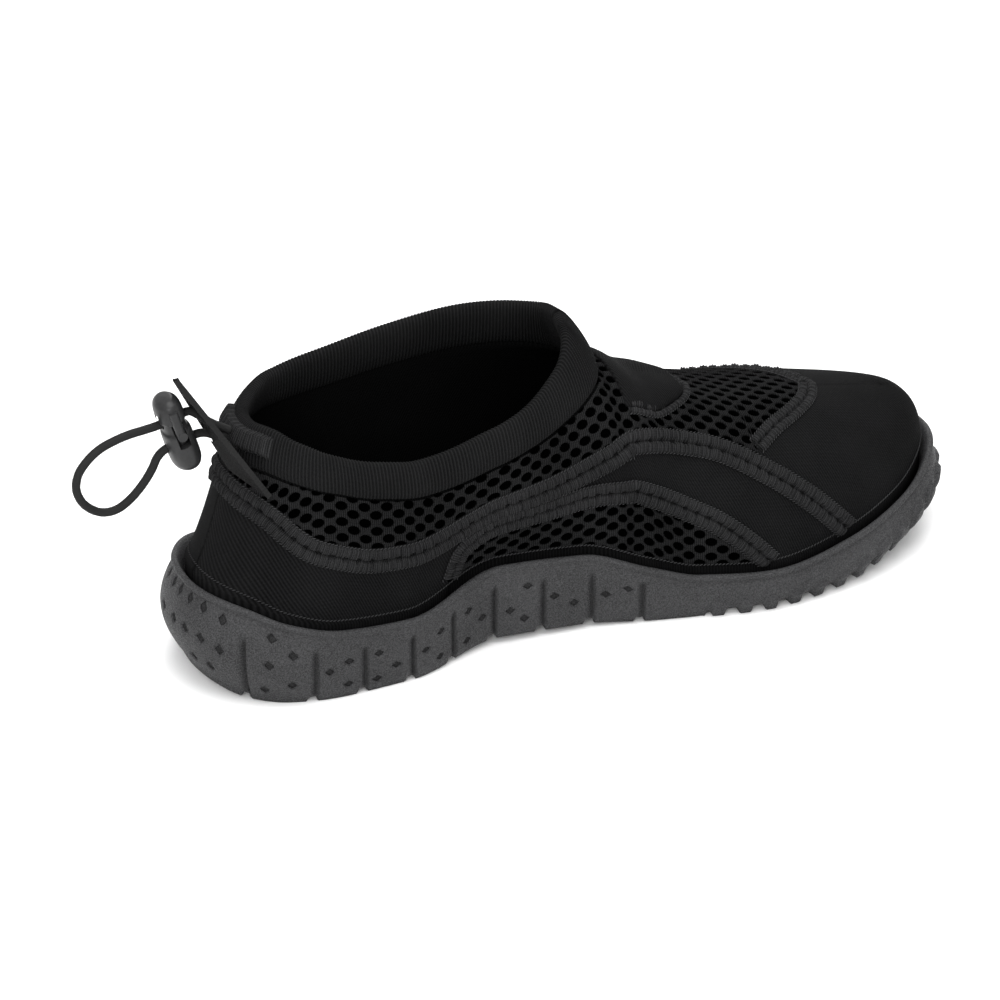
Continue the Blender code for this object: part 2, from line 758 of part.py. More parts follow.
def make_tongue_pad():
    """The pad between the throat's front and the tongue tape, across the crest."""
    border = TONGUE_TAPE_WIDTH / 2 + PAD_MARGIN
    first, last = TONGUE_TAPE["share"][0], TONGUE_TAPE["share"][-1] - border / SHOE_LENGTH
    share = np.linspace(first, last - GAP / SHOE_LENGTH, PAD_STATIONS)
    edge = read(TONGUE_TAPE, "rise", share)
    turn = turn_of(share)
    tiny = 1e-3
    reach = np.linalg.norm(upper_at(turn, edge) - upper_at(turn, edge - tiny), axis=1) / tiny
    edge = np.minimum(edge + border / reach, 1 - GAP / reach)
    low, high = [], []
    for k in (-1.0, -0.6, -0.25, 0.0, 0.25, 0.6, 1.0):
        rise = 1 - (1 - edge) * abs(k)
        side = 1 if k > 0 else -1
        surface = upper_at(side * turn, rise)
        normal = upper_normal(side * turn, rise)
        if k == 0:
            normal = unit(normal * (1, 0, 1))
        low.append(surface + normal * TAPE_GAP)
        high.append(surface + normal * (TAPE_GAP + TONGUE_PAD_THICKNESS))
    section_loft("tongue_pad", np.stack(low + high[::-1], 1), cloth)


# Heel tab, sleeve, lock and cord


def tab_surface():
    """The tab's middle surface: rows from its foot, bent round the heel, to its straight top."""
    foot_turn = np.linspace(*TAB_TURNS, TAB_COLUMNS)
    height = COLLAR_HEIGHT * read(SIDE_TAPE, "height", share_of(foot_turn))
    height = height + SIDE_TAPE_WIDTH / 2 + TAB_LIFT
    rise = rise_at(foot_turn, height)
    foot = upper_at(foot_turn, rise) + upper_normal(foot_turn, rise) * TAB_STANDOFF
    top = np.linspace(TAB_TOP_MEDIAL, TAB_TOP_LATERAL, len(foot_turn))
    k = np.linspace(0, 1, TAB_ROWS)[:, None, None]
    return foot * (1 - k) + top * k


def make_tab():
    surface = tab_surface()
    normal = unit(np.cross(np.gradient(surface, axis=0), np.gradient(surface, axis=1)))
    half = normal * TAB_THICKNESS / 2
    sections = np.concatenate([surface + half, (surface - half)[:, ::-1]], axis=1)
    made = section_loft("heel_tab", sections, webbing)
    for name, first in (("upper", 2), ("lower", -3)):
        cut_from(made, cord_hole(f"{name}_tab_hole", first))


def cord_hole(name, first):
    """A cutter along the cord, through a point of its route and the next."""
    start, end = Vector(CORD_ROUTE[first]), Vector(CORD_ROUTE[first + 1])
    return cylinder_between(name, start * 2 - end, end * 2 - start, CORD_DIAMETER / 2 + 2 * CORD_CLEARANCE)


def cylinder_between(name, start, end, radius):
    """A round cutter whose ends are given."""
    start, end = Vector(start), Vector(end)
    mesh = bpy.data.meshes.new(name)
    work = bmesh.new()
    bmesh.ops.create_cone(
        work,
        cap_ends=True,
        segments=16,
        radius1=radius,
        radius2=radius,
        depth=(end - start).length,
    )
    work.to_mesh(mesh)
    work.free()
    return cutter(name, mesh, (start + end) / 2, (end - start).to_track_quat("Z", "Y"))


def cutter(name, mesh, location, rotation):
    made = bpy.data.objects.new(name, mesh)
    made.location = location
    made.rotation_mode = "QUATERNION"
    made.rotation_quaternion = rotation
    made.hide_render = True
    made.display_type = "WIRE"
    made.parent = origin
    cutters.objects.link(made)
    return made


def cut_from(made, tool):
    change = made.modifiers.new(tool.name, "BOOLEAN")
    change.operation = "DIFFERENCE"
    change.solver = "EXACT"
    change.object = tool


def join_to(made, other):
    change = made.modifiers.new(other.name, "BOOLEAN")
    change.operation = "UNION"
    change.solver = "EXACT"
    change.object = other


def make_tunnel():
    """The band at the collar's back that the cord's two ends run up to."""
    turn = np.linspace(*TUNNEL_TURNS, TUNNEL_STATIONS)
    known = throat_turns()
    foot, up, across = (
        np.stack([np.interp(turn, known, values) for values in frame.T], -1)
        for frame in cuff_frames(known)
    )
    rows = []
    for reach, angles in (
        (TAPE_GAP, np.linspace(*TUNNEL_ANGLES, TUNNEL_ROWS)),
        (TAPE_GAP + TUNNEL_THICKNESS, np.linspace(*TUNNEL_ANGLES[::-1], TUNNEL_ROWS)),
    ):
        for angle in angles:
            rows.append(cuff_row(foot, up, across, angle) + across * reach)
    section_loft("cord_tunnel", np.stack(rows, 1), webbing)


def put_in_lock(made):
    made.parent = lock
    return made


def turned(name, rows, material):
    """An oval solid turned from rows of a radius, as a share of the lock's, and a height."""
    angles = np.linspace(0, 2 * math.pi, LOCK_SIDES, endpoint=False)
    deep, wide = LOCK_DEPTH / 2 * np.cos(angles), LOCK_WIDTH / 2 * np.sin(angles)
    points = [(x * radius, y * radius, height) for radius, height in rows for x, y in zip(deep, wide)]
    made = add_object(name, points, list(bands(len(rows), LOCK_SIDES, True)), material)
    face_out(made)
    return put_in_lock(made)


def box_mesh(name, low, high):
    mesh = bpy.data.meshes.new(name)
    work = bmesh.new()
    bmesh.ops.create_cube(work, size=1)
    low, high = Vector(low), Vector(high)
    for vertex in work.verts:
        share = vertex.co + Vector((0.5, 0.5, 0.5))
        vertex.co = Vector(a + (b - a) * k for a, b, k in zip(low, high, share))
    work.to_mesh(mesh)
    work.free()
    return mesh


def lock_box(name, low, high):
    return put_in_lock(cutter(name, box_mesh(name, low, high), (0, 0, 0), Quaternion()))


# The lock's barrel and its button: radii as shares of the barrel's, heights from the middle
LOCK_BARREL = (
    (0.0, -0.0135),
    (0.50, -0.0132),
    (0.82, -0.0122),
    (0.96, -0.0104),
    (1.0, -0.0075),
    (0.97, -0.0020),
    (0.92, 0.0030),
    (0.90, 0.0058),
    (1.0, 0.0065),
    (0.97, LOCK_MOUTH),
    (0.0, LOCK_MOUTH),
)
STEM = 0.60
BORE = STEM + 2 * BUTTON_CLEARANCE / LOCK_DEPTH
HEAD_FOOT = LOCK_MOUTH + BUTTON_TRAVEL + BUTTON_CLEARANCE
LOCK_BUTTON = (
    (0.0, BUTTON_FOOT),
    (STEM, BUTTON_FOOT),
    (STEM, HEAD_FOOT),
    (0.88, HEAD_FOOT),
    (0.97, HEAD_FOOT + 0.0006),
    (0.94, HEAD_FOOT + 0.0018),
    (0.70, HEAD_FOOT + 0.0032),
    (0.0, HEAD_FOOT + 0.0035),
)


def make_lock():
    """The barrel: a bore for the button, two holes for the cord and a slot for the peg."""
    made = turned("cord_lock_body", LOCK_BARREL, plastic)
    bore_foot = BUTTON_FOOT - BUTTON_TRAVEL - BUTTON_CLEARANCE
    bore_rows = [(radius, height) for height in (bore_foot, HEAD_FOOT) for radius in (0, BORE)]
    bore = turned("button_bore", bore_rows[:2] + bore_rows[:1:-1], plastic)
    parts.objects.unlink(bore)
    cutters.objects.link(bore)
    bore.hide_render = True
    bore.display_type = "WIRE"
    cut_from(made, bore)
    hole = CORD_DIAMETER / 2 + CORD_CLEARANCE
    for name, height in (("upper", STRAND_OFFSET), ("lower", -STRAND_OFFSET)):
        ends = [(side * LOCK_DEPTH, 0, height) for side in (-1, 1)]
        cut_from(made, put_in_lock(cylinder_between(f"{name}_cord_hole", *ends, hole)))
    room = PEG_RADIUS + BUTTON_CLEARANCE
    low = (-room, -LOCK_WIDTH, PEG_HEIGHT - BUTTON_TRAVEL - room)
    high = (room, -STEM * LOCK_WIDTH / 3, PEG_HEIGHT + room)
    cut_from(made, lock_box("peg_slot", low, high))


def make_button():
    """The sprung plunger: a stem with two long windows for the cord, a peg and a thumb head."""
    made = turned("cord_lock_button", LOCK_BUTTON, plastic)
    peg_start = (0, -STEM * LOCK_WIDTH / 3, PEG_HEIGHT)
    peg_end = (0, -LOCK_WIDTH / 2 - GAP, PEG_HEIGHT)
    join_to(made, put_in_lock(cylinder_between("button_peg", peg_start, peg_end, PEG_RADIUS)))
    hole = CORD_DIAMETER / 2 + CORD_CLEARANCE
    for name, height in (("upper", STRAND_OFFSET), ("lower", -STRAND_OFFSET)):
        tool = lock_box(
            f"{name}_window",
            (-LOCK_DEPTH, -hole, height - hole),
            (LOCK_DEPTH, hole, height + hole + BUTTON_TRAVEL),
        )
        cut_from(made, tool)


def smooth_route(points, step):
    """Points a step apart along one smooth curve through a route."""
    points = np.array(points)
    ends = 2 * points[[0, -1]] - points[[1, -2]]
    points = np.concatenate([ends[:1], points, ends[1:]])
    fine = []
    for i in range(1, len(points) - 2):
        p0, p1, p2, p3 = points[i - 1 : i + 3]
        for k in np.linspace(0, 1, CURVE_STEPS, endpoint=False):
            fine.append(
                p1
                + (p2 - p0) * k / 2
                + (2 * p0 - 5 * p1 + 4 * p2 - p3) * k**2 / 2
                + (3 * p1 - 3 * p2 + p3 - p0) * k**3 / 2
            )
    fine = np.array(fine + [points[-2]])
    reached = np.concatenate([[0], np.cumsum(np.linalg.norm(np.diff(fine, axis=0), axis=1))])
    even = np.linspace(0, reached[-1], math.ceil(reached[-1] / step) + 1)
    return np.stack([np.interp(even, reached, fine[:, i]) for i in range(3)], -1)


def make_cord():
    curve = bpy.data.curves.new("drawcord", "CURVE")
    curve.dimensions = "3D"
    curve.bevel_depth = CORD_DIAMETER / 2
    curve.bevel_resolution = 2
    curve.use_fill_caps = True
    points = smooth_route(CORD_ROUTE, CORD_STEP)
    spline = curve.splines.new("POLY")
    spline.points.add(len(points) - 1)
    for point, at in zip(spline.points, points):
        point.co = (*at, 1)
    curve.materials.append(webbing)
    made = bpy.data.objects.new("drawcord", curve)
    parts.objects.link(made)
    made.parent = origin


def centre(sole):
    """Moves the whole shoe so that the origin lies under the middle of its box."""
    sides = [vertex.co.y for vertex in sole.data.vertices]
    origin.location = (-SHOE_LENGTH / 2, -(min(sides) + max(sides)) / 2, 0)


for old in list(bpy.data.objects):
    bpy.data.objects.remove(old, do_unlink=True)
parts = collection_named("water_shoe")
cutters = collection_named("cutters")
cutters.hide_render = True
rubber = finish("rubber", (0.035, 0.035, 0.037), 0.6)
cloth = finish("neoprene", (0.014, 0.014, 0.015), 0.85)
knit = finish("cuff_knit", (0.017, 0.017, 0.018), 0.85)
foam = finish("insole_foam", (0.02, 0.02, 0.021), 0.9)
tape = finish("seam_tape", (0.022, 0.022, 0.023), 0.8)
webbing = finish("webbing", (0.02, 0.02, 0.021), 0.7)
plastic = finish("lock_plastic", (0.05, 0.05, 0.05), 0.45)
origin = bpy.data.objects.new("shoe_origin", None)
parts.objects.link(origin)
lock = bpy.data.objects.new("lock_axes", None)
parts.objects.link(lock)
lock.parent = origin
lock.location = LOCK_CENTRE
lock.rotation_euler = (0, -LOCK_TILT, 0)

centre(make_outsole())
make_upper()
make_insole()
make_collar()
make_side_tape()
make_window_tape("window_tape_medial", -1)
make_window_tape("window_tape_lateral", 1)
make_crossing_tape("toe_tape", TOE_TAPE, TOE_TAPE_WIDTH)
make_crossing_tape("tongue_tape", TONGUE_TAPE, TONGUE_TAPE_WIDTH)
make_tongue_pad()
make_tab()
make_tunnel()
make_lock()
make_button()
make_cord()
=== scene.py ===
"""Looks of the slip-on water shoe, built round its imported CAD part.

Metres, +Z up. Shapes are worked out with the heel's back at x = 0, and SHIFT then moves them
to where the part stands.
"""

import math

import bmesh
import bpy
import numpy as np
from mathutils import Matrix, Vector


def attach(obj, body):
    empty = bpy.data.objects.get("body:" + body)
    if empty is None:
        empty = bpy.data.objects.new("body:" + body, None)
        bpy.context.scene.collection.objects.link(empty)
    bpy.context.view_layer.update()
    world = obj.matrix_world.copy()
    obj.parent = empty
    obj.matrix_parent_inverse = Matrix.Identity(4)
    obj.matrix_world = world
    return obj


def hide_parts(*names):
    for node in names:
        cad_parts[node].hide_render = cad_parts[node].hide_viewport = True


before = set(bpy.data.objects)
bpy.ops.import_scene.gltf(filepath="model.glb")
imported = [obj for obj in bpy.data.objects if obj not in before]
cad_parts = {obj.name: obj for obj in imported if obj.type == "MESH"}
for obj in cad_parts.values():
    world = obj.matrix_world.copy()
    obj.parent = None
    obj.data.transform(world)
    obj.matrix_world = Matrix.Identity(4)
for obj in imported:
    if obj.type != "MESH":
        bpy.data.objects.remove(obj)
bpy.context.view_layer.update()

# Where the part stands, and the camera that took the picture
SHIFT = np.array([-0.140, -0.00142, 0.0])
CAMERA_AZIMUTH = math.radians(-24.4)
CAMERA_ELEVATION = math.radians(29.9)
CAMERA_DISTANCE = 1.26
CAMERA_TARGET = (0.1185, 0.0, 0.0375)
CAMERA_LENS = 135.8

# Sizes of the whole shoe
SHOE_LENGTH = 0.280
BALL_WIDTH = 0.098
HEEL_WIDTH = 0.075
COLLAR_HEIGHT = 0.086
GAP = 0.0003
FOOT_GAP = 0.0010

# Rubber outsole
SOLE_FLOOR = 0.0075
HEEL_WALL_HEIGHT = 0.037
TOE_SPRING = 0.012
RIM_WALL = 0.0028
LIP_HEIGHT = 0.0026
LIP_REACH = 0.0008
WALL_ROUNDING = 0.006
TREAD_DEPTH = 0.0018
TREAD_EDGE = 0.0010
TREAD_PAD_INSET = 0.011
GROOVE_WIDTH = 0.0022
HEEL_GROOVE = 0.033
GROOVE_FIRST = 0.057
GROOVE_PITCH = 0.0171
GROOVE_COUNT = 8
TOOTH_WIDTH = 0.0042
TOOTH_REACH = 0.0012
TOOTH_PITCH = 0.0094
TOOTH_START = 0.204
BEVEL_RUN = 0.0009

# Cloth upper, insole and collar
UPPER_WALL = 0.0024
INSOLE_THICKNESS = 0.003
TOE_SWING = 0.0045
CUFF_RISE = 0.018
CUFF_LEAN = 0.013
CUFF_THICKNESS = 0.0062

# Tapes sewn on the upper, and the pad in front of the throat
SIDE_TAPE_WIDTH = 0.0085
SIDE_TAPE_HEIGHT = 0.0017
WINDOW_TAPE_WIDTH = 0.008
WINDOW_TAPE_HEIGHT = 0.0016
TOE_TAPE_WIDTH = 0.0065
TOE_TAPE_HEIGHT = 0.0015
TONGUE_TAPE_WIDTH = 0.005
TONGUE_TAPE_HEIGHT = 0.0014
TONGUE_PAD_THICKNESS = 0.0016
RIM_CLEARANCE = 0.0006
TAPE_GAP = 0.0009
NEEDLE_PITCH = 0.0046
TOE_NEEDLE_PITCH = 0.0042

# Heel tab, cord tunnel, drawcord and the lock on it
TAB_THICKNESS = 0.0018
TAB_STANDOFF = 0.0030
TAB_LIFT = 0.0038
TAB_TURNS = (-0.56, -0.20)
TAB_TOP_MEDIAL = (0.0045, -0.0070, 0.1110)
TAB_TOP_LATERAL = (0.0085, 0.0060, 0.1045)
CORD_DIAMETER = 0.0027
CORD_CLEARANCE = 0.0005
TUNNEL_ANGLES = (1.25, 2.35)
LOCK_CENTRE = (0.0046, -0.0040, 0.0920)
LOCK_TILT = math.radians(16.3)
LOCK_DEPTH = 0.0100
LOCK_WIDTH = 0.0145
LOCK_MOUTH = 0.0072
BUTTON_TRAVEL = 0.0025
BUTTON_CLEARANCE = 0.0003
BUTTON_FOOT = -0.0079
STRAND_OFFSET = 0.0045
PEG_RADIUS = 0.0016
PEG_HEIGHT = 0.0012

FINE_STEPS = 81
EDGE_STEPS = 2001
CURVE_STEPS = 20
CUFF_FLATNESS = 0.7

# Shares of the length where the plan's round ends begin, and how square they are
HEEL_ROUND = 0.16
HEEL_SQUARE = 2.3
TOE_ROUND = 0.24
TOE_SQUARE = 2.25
BULGE_AT = 0.5
THROAT_FRONT = 0.545
THROAT_ROUND = 0.205
THROAT_SQUARE = 2.2
THROAT_SLOPE = 6.0
THROAT_BLEND = 8
HEEL_FAN = 0.32
TOE_FAN = 0.14
VAMP_SIDE = 0.82
VAMP_CROWN = 0.92
SWING_START = 0.55
SWING_RUN = 0.45
WIDENS_FROM = 0.2
WIDENS_OVER = 0.42
FLATTEST_ANGLE = 0.3
TINY = 1e-9


def table(columns, *rows):
    """Named columns, each row being one place along the shoe."""
    return dict(zip(columns.split(), np.array(rows, float).T))


# Half-widths as shares of half the local width, rim heights as shares of the heel wall's,
# floor heights as shares of the toe spring, insets as shares of the wall's rounding.
SOLE = table(
    "share medial lateral medial_rim lateral_rim floor rim_inset foot_inset",
    (0.00, 0.90, 0.93, 1.02, 1.02, 0.38, 0.85, 0.85),
    (0.05, 0.97, 0.98, 0.95, 0.95, 0.06, 0.66, 0.70),
    (0.10, 1.01, 1.00, 0.82, 0.82, 0.00, 0.40, 0.50),
    (0.17, 1.01, 1.00, 0.68, 0.66, 0.00, 0.15, 0.10),
    (0.25, 0.98, 0.98, 0.64, 0.58, 0.00, 0.05, 0.02),
    (0.38, 0.68, 0.93, 0.82, 0.54, 0.20, 0.00, 0.00),
    (0.48, 0.68, 0.96, 0.78, 0.50, 0.14, 0.00, 0.00),
    (0.56, 0.76, 1.00, 0.58, 0.45, 0.03, 0.02, 0.05),
    (0.62, 0.84, 1.02, 0.45, 0.42, 0.00, 0.08, 0.15),
    (0.72, 0.95, 1.00, 0.41, 0.41, 0.00, 0.20, 0.30),
    (0.82, 0.90, 0.97, 0.51, 0.53, 0.10, 0.30, 0.40),
    (0.92, 0.80, 0.90, 0.66, 0.76, 0.45, 0.35, 0.55),
    (1.00, 0.75, 0.86, 0.95, 0.95, 1.00, 0.40, 0.70),
)

# The line where the cuff begins and, ahead of the throat, the crest of the vamp. Reach is the
# share of the way from the middle out to the foot of the wall, height the share of the collar's.
TOP = table(
    "share medial_reach medial_height lateral_reach lateral_height",
    (0.00, 0.62, 0.885, 0.62, 0.885),
    (0.04, 0.64, 0.890, 0.64, 0.890),
    (0.10, 0.74, 0.872, 0.74, 0.885),
    (0.16, 0.89, 0.835, 0.88, 0.885),
    (0.22, 0.93, 0.775, 0.92, 0.900),
    (0.29, 1.00, 0.745, 0.92, 0.925),
    (0.36, 1.18, 0.775, 0.88, 0.950),
    (0.42, 1.12, 0.822, 0.80, 0.970),
    (0.48, 1.02, 0.880, 0.72, 0.978),
    (0.545, 0.96, 0.960, 0.66, 0.960),
    (0.60, 0.96, 0.842, 0.66, 0.842),
    (0.66, 0.96, 0.773, 0.66, 0.773),
    (0.72, 0.96, 0.726, 0.66, 0.726),
    (0.79, 0.96, 0.690, 0.66, 0.690),
    (0.85, 0.96, 0.650, 0.66, 0.650),
    (0.90, 0.96, 0.620, 0.66, 0.620),
    (0.93, 0.96, 0.600, 0.66, 0.600),
)

# How the side wall leans: lean under 1 draws in low down and over 1 near the top, swell is a
# share of the half-width, vamp blends an upright ankle wall (0) into the arched vamp (1).
WALL = table(
    "share lean medial_swell lateral_swell vamp",
    (0.00, 0.75, 0.000, 0.000, 0.00),
    (0.10, 0.90, 0.010, 0.010, 0.00),
    (0.20, 1.30, 0.030, 0.030, 0.00),
    (0.36, 1.40, 0.100, 0.030, 0.35),
    (0.42, 1.30, 0.095, 0.025, 0.72),
    (0.48, 1.20, 0.065, 0.012, 0.95),
    (0.56, 1.00, 0.026, 0.004, 1.00),
    (0.70, 1.00, 0.010, 0.000, 1.00),
    (1.00, 1.00, 0.000, 0.000, 1.00),
)

# The cuff's rise and inward lean, as shares of those at the throat's front
CUFF = table(
    "share medial_rise medial_lean lateral_rise lateral_lean",
    (0.00, 0.70, 0.50, 0.70, 0.50),
    (0.05, 0.70, 0.44, 0.70, 0.46),
    (0.12, 0.70, 0.26, 0.72, 0.34),
    (0.20, 0.66, 0.22, 0.78, 0.18),
    (0.30, 0.64, 0.25, 0.85, 0.15),
    (0.40, 0.66, 0.30, 0.90, 0.20),
    (0.48, 0.82, 0.50, 0.92, 0.40),
    (0.52, 1.06, 0.80, 1.06, 0.75),
    (0.545, 1.19, 1.00, 1.19, 1.00),
)

# Where the tapes run on each side: heights as shares of the collar's
SIDE_TAPE = table(
    "share height",
    (0.000, 0.800),
    (0.068, 0.738),
    (0.145, 0.630),
    (0.210, 0.595),
    (0.290, 0.632),
    (0.380, 0.683),
    (0.470, 0.715),
    (0.555, 0.727),
    (0.642, 0.666),
    (0.715, 0.545),
    (0.772, 0.408),
    (0.826, 0.245),
)
WINDOW_TAPE = table(
    "share height",
    (0.315, 0.310),
    (0.330, 0.478),
    (0.385, 0.555),
    (0.467, 0.570),
    (0.548, 0.522),
    (0.629, 0.414),
    (0.683, 0.278),
    (0.712, 0.185),
)
# The toe and tongue tapes cross the crest: rise is the share of the way up the upper
TOE_TAPE = table(
    "share rise",
    (0.712, 0.590),
    (0.745, 0.690),
    (0.780, 0.775),
    (0.812, 0.880),
    (0.832, 1.000),
)
TONGUE_TAPE = table(
    "share rise",
    (0.556, 0.660),
    (0.590, 0.720),
    (0.620, 0.810),
    (0.648, 0.915),
    (0.662, 1.000),
)

# The drawcord's route, in metres: out of the cord channel, through tab and lock, round the
# free loop and back
CORD_ROUTE = (
    (0.0224, -0.004, 0.0880),
    (0.0190, -0.004, 0.0902),
    (0.0154, -0.004, 0.0928),
    (0.0118, -0.004, 0.0962),
    (0.0086, -0.004, 0.0979),
    (0.0033, -0.004, 0.0963),
    (-0.0012, -0.004, 0.0951),
    (-0.0057, -0.004, 0.0945),
    (-0.0107, -0.004, 0.0940),
    (-0.0157, -0.004, 0.0929),
    (-0.0208, -0.004, 0.0910),
    (-0.0250, -0.004, 0.0879),
    (-0.0282, -0.004, 0.0838),
    (-0.0293, -0.004, 0.0790),
    (-0.0281, -0.004, 0.0743),
    (-0.0252, -0.004, 0.0706),
    (-0.0210, -0.004, 0.0682),
    (-0.0162, -0.004, 0.0683),
    (-0.0116, -0.004, 0.0710),
    (-0.0074, -0.004, 0.0752),
    (-0.0042, -0.004, 0.0797),
    (-0.0022, -0.004, 0.0836),
    (0.0002, -0.004, 0.0858),
    (0.0030, -0.004, 0.0868),
    (0.0059, -0.004, 0.0877),
    (0.0112, -0.004, 0.0892),
    (0.0146, -0.004, 0.0888),
    (0.0178, -0.004, 0.0870),
    (0.0208, -0.004, 0.0846),
)


def read(rows, column, share):
    """A column's value at a share of the length, on a curve that never swings past its rows."""
    at, value = rows["share"], rows[column]
    step = np.diff(at)
    rise = np.diff(value) / step
    slope = np.concatenate([rise[:1], np.zeros(len(rise) - 1), rise[-1:]])
    before, after = 2 * step[1:] + step[:-1], step[1:] + 2 * step[:-1]
    same = np.flatnonzero(rise[:-1] * rise[1:] > 0)
    mean = before[same] / rise[:-1][same] + after[same] / rise[1:][same]
    slope[same + 1] = (before[same] + after[same]) / mean
    share = np.clip(share, at[0], at[-1])
    i = np.clip(np.searchsorted(at, share, side="right") - 1, 0, len(step) - 1)
    k = (share - at[i]) / step[i]
    start = value[i] * (1 + 2 * k) + slope[i] * step[i] * k
    end = value[i + 1] * (3 - 2 * k) - slope[i + 1] * step[i] * (1 - k)
    return start * (1 - k) ** 2 + end * k**2


def by_side(rows, column, share, turn):
    """A column that has a medial and a lateral version."""
    medial = read(rows, "medial" + column, share)
    lateral = read(rows, "lateral" + column, share)
    return np.where(turn < 0, medial, lateral)


def ease(value):
    k = np.clip(value, 0, 1)
    return k * k * (3 - 2 * k)


def wrapped(turn):
    """Turn runs round the shoe: 0 at the heel's back, medial below 0, pi at the toe's tip."""
    return (np.asarray(turn, float) + math.pi) % (2 * math.pi) - math.pi


def share_of(turn):
    return (1 - np.cos(turn)) / 2


def turn_of(share):
    return np.arccos(1 - 2 * np.asarray(share, float))


def middle(share):
    """The middle line's y: it swings to the medial side towards the toe."""
    return -TOE_SWING * np.clip((share - SWING_START) / SWING_RUN, 0, 1) ** 2


def middle_at(share):
    """A point of the middle line, seen from above."""
    return np.stack([share * SHOE_LENGTH, middle(share)], -1)


def plan(turn):
    """The sole's widest line, seen from above."""
    turn = wrapped(turn)
    share = share_of(turn)
    heel = np.clip(1 - share / HEEL_ROUND, 0, 1) ** HEEL_SQUARE
    toe = np.clip(1 - (1 - share) / TOE_ROUND, 0, 1) ** TOE_SQUARE
    ends = (1 - heel) ** (1 / HEEL_SQUARE) * (1 - toe) ** (1 / TOE_SQUARE)
    local = HEEL_WIDTH + (BALL_WIDTH - HEEL_WIDTH) * ease((share - WIDENS_FROM) / WIDENS_OVER)
    half = by_side(SOLE, "", share, turn) * local / 2 * ends
    return np.stack([share * SHOE_LENGTH, middle(share) + np.sign(turn) * half], -1)


def outward(turn):
    """The plan's outward normal."""
    tiny = 1e-4
    along = plan(np.asarray(turn) + tiny) - plan(np.asarray(turn) - tiny)
    normal = np.stack([-along[..., 1], along[..., 0]], -1)
    return normal / np.linalg.norm(normal, axis=-1, keepdims=True)


def inset_plan(turn, inset):
    return plan(turn) - outward(turn) * np.asarray(inset)[..., None]


def rim_height(turn):
    turn = wrapped(turn)
    return HEEL_WALL_HEIGHT * by_side(SOLE, "_rim", share_of(turn), turn)


def ground_height(turn):
    return TOE_SPRING * read(SOLE, "floor", share_of(turn))


def floor_height(turn):
    """The floor of the sole's recess."""
    return ground_height(turn) + SOLE_FLOOR


def rim_inset(turn):
    return WALL_ROUNDING * read(SOLE, "rim_inset", share_of(turn))


def recess_inset(turn):
    return rim_inset(turn) + RIM_WALL


def upper_foot(turn):
    """The upper's outer side where it goes down inside the sole."""
    return inset_plan(turn, recess_inset(turn) + FOOT_GAP)


def place(flat, height):
    return np.concatenate([flat, np.asarray(height)[..., None]], -1)


def spine_share(share):
    """Where a section's plane meets the middle line: planes fan out round heel and toe."""
    heel = np.clip((HEEL_FAN - share) / HEEL_FAN, 0, 1)
    toe = np.clip((share - 1 + TOE_FAN) / TOE_FAN, 0, 1)
    share = np.where(heel > 0, HEEL_FAN * (1 - heel + heel**2 / 2), share)
    return np.where(toe > 0, 1 - TOE_FAN + TOE_FAN * (toe - toe**2 / 2), share)


def upper_at(turn, rise):
    """The upper's outer surface: rise is 0 at the sole's rim, 1 at the cuff or the crest."""
    turn = wrapped(turn)
    share = share_of(turn)
    foot = upper_foot(turn)
    spine = spine_share(share)
    axis = middle_at(spine)
    low = rim_height(turn)
    key = np.where(share > THROAT_FRONT, spine, share)
    top = COLLAR_HEIGHT * by_side(TOP, "_height", key, turn)
    closing = np.clip((share - THROAT_FRONT + THROAT_ROUND) / THROAT_ROUND, 0, 1)
    curved = (1 - closing**THROAT_SQUARE) ** (1 / THROAT_SQUARE)
    straight = THROAT_SLOPE * (1 - closing)
    curved, straight = (np.maximum(way, TINY) ** -THROAT_BLEND for way in (curved, straight))
    throat = (curved + straight) ** (-1 / THROAT_BLEND)
    reach = by_side(TOP, "_reach", share, turn) * throat
    swell = by_side(WALL, "_swell", share, turn) * np.sin(math.pi * rise)
    vamp = read(WALL, "vamp", share)
    upright = 1 + (reach - 1) * rise ** read(WALL, "lean", share)
    last_angle = np.arccos(np.clip(reach, 0, 1) ** (1 / VAMP_SIDE))
    last_angle = np.maximum(last_angle, FLATTEST_ANGLE)
    angle = last_angle * rise
    arched = np.clip(np.cos(angle), 0, 1) ** VAMP_SIDE
    arched = arched + (reach - np.cos(last_angle) ** VAMP_SIDE) * rise
    arched_height = (np.sin(angle) / np.sin(last_angle)) ** VAMP_CROWN
    out = upright * (1 - vamp) + arched * vamp + swell
    height = rise * (1 - vamp) + arched_height * vamp
    flat = axis + (foot - axis) * out[..., None]
    return place(flat, low + (top - low) * height)


def unit(vectors):
    return vectors / np.linalg.norm(vectors, axis=-1, keepdims=True)


def reached(points):
    """How far each point of a path lies from its start."""
    steps = np.linalg.norm(np.diff(points, axis=0), axis=1)
    return np.concatenate([[0], np.cumsum(steps)])


def upper_normal(turn, rise):
    tiny = 1e-3
    rise = np.clip(rise, tiny, 1 - tiny)
    round_it = upper_at(turn + tiny, rise) - upper_at(turn - tiny, rise)
    up_it = upper_at(turn, rise + tiny) - upper_at(turn, rise - tiny)
    return unit(np.cross(up_it, round_it))


def both_sides(turns):
    """All the way round, from the toe by the medial side: turns runs from 0 to pi."""
    return np.concatenate([-turns[:0:-1], turns[:-1]])


# Stations along the sole's edge


def edge_ruler():
    """Turns and the distances from the heel's back that they have reached along the edge."""
    turns = np.linspace(0, math.pi, EDGE_STEPS)
    return turns, reached(plan(-turns))


def mirrored(values):
    """A value at each of both_sides' stations."""
    return np.concatenate([values[:0:-1], values[:-1]])


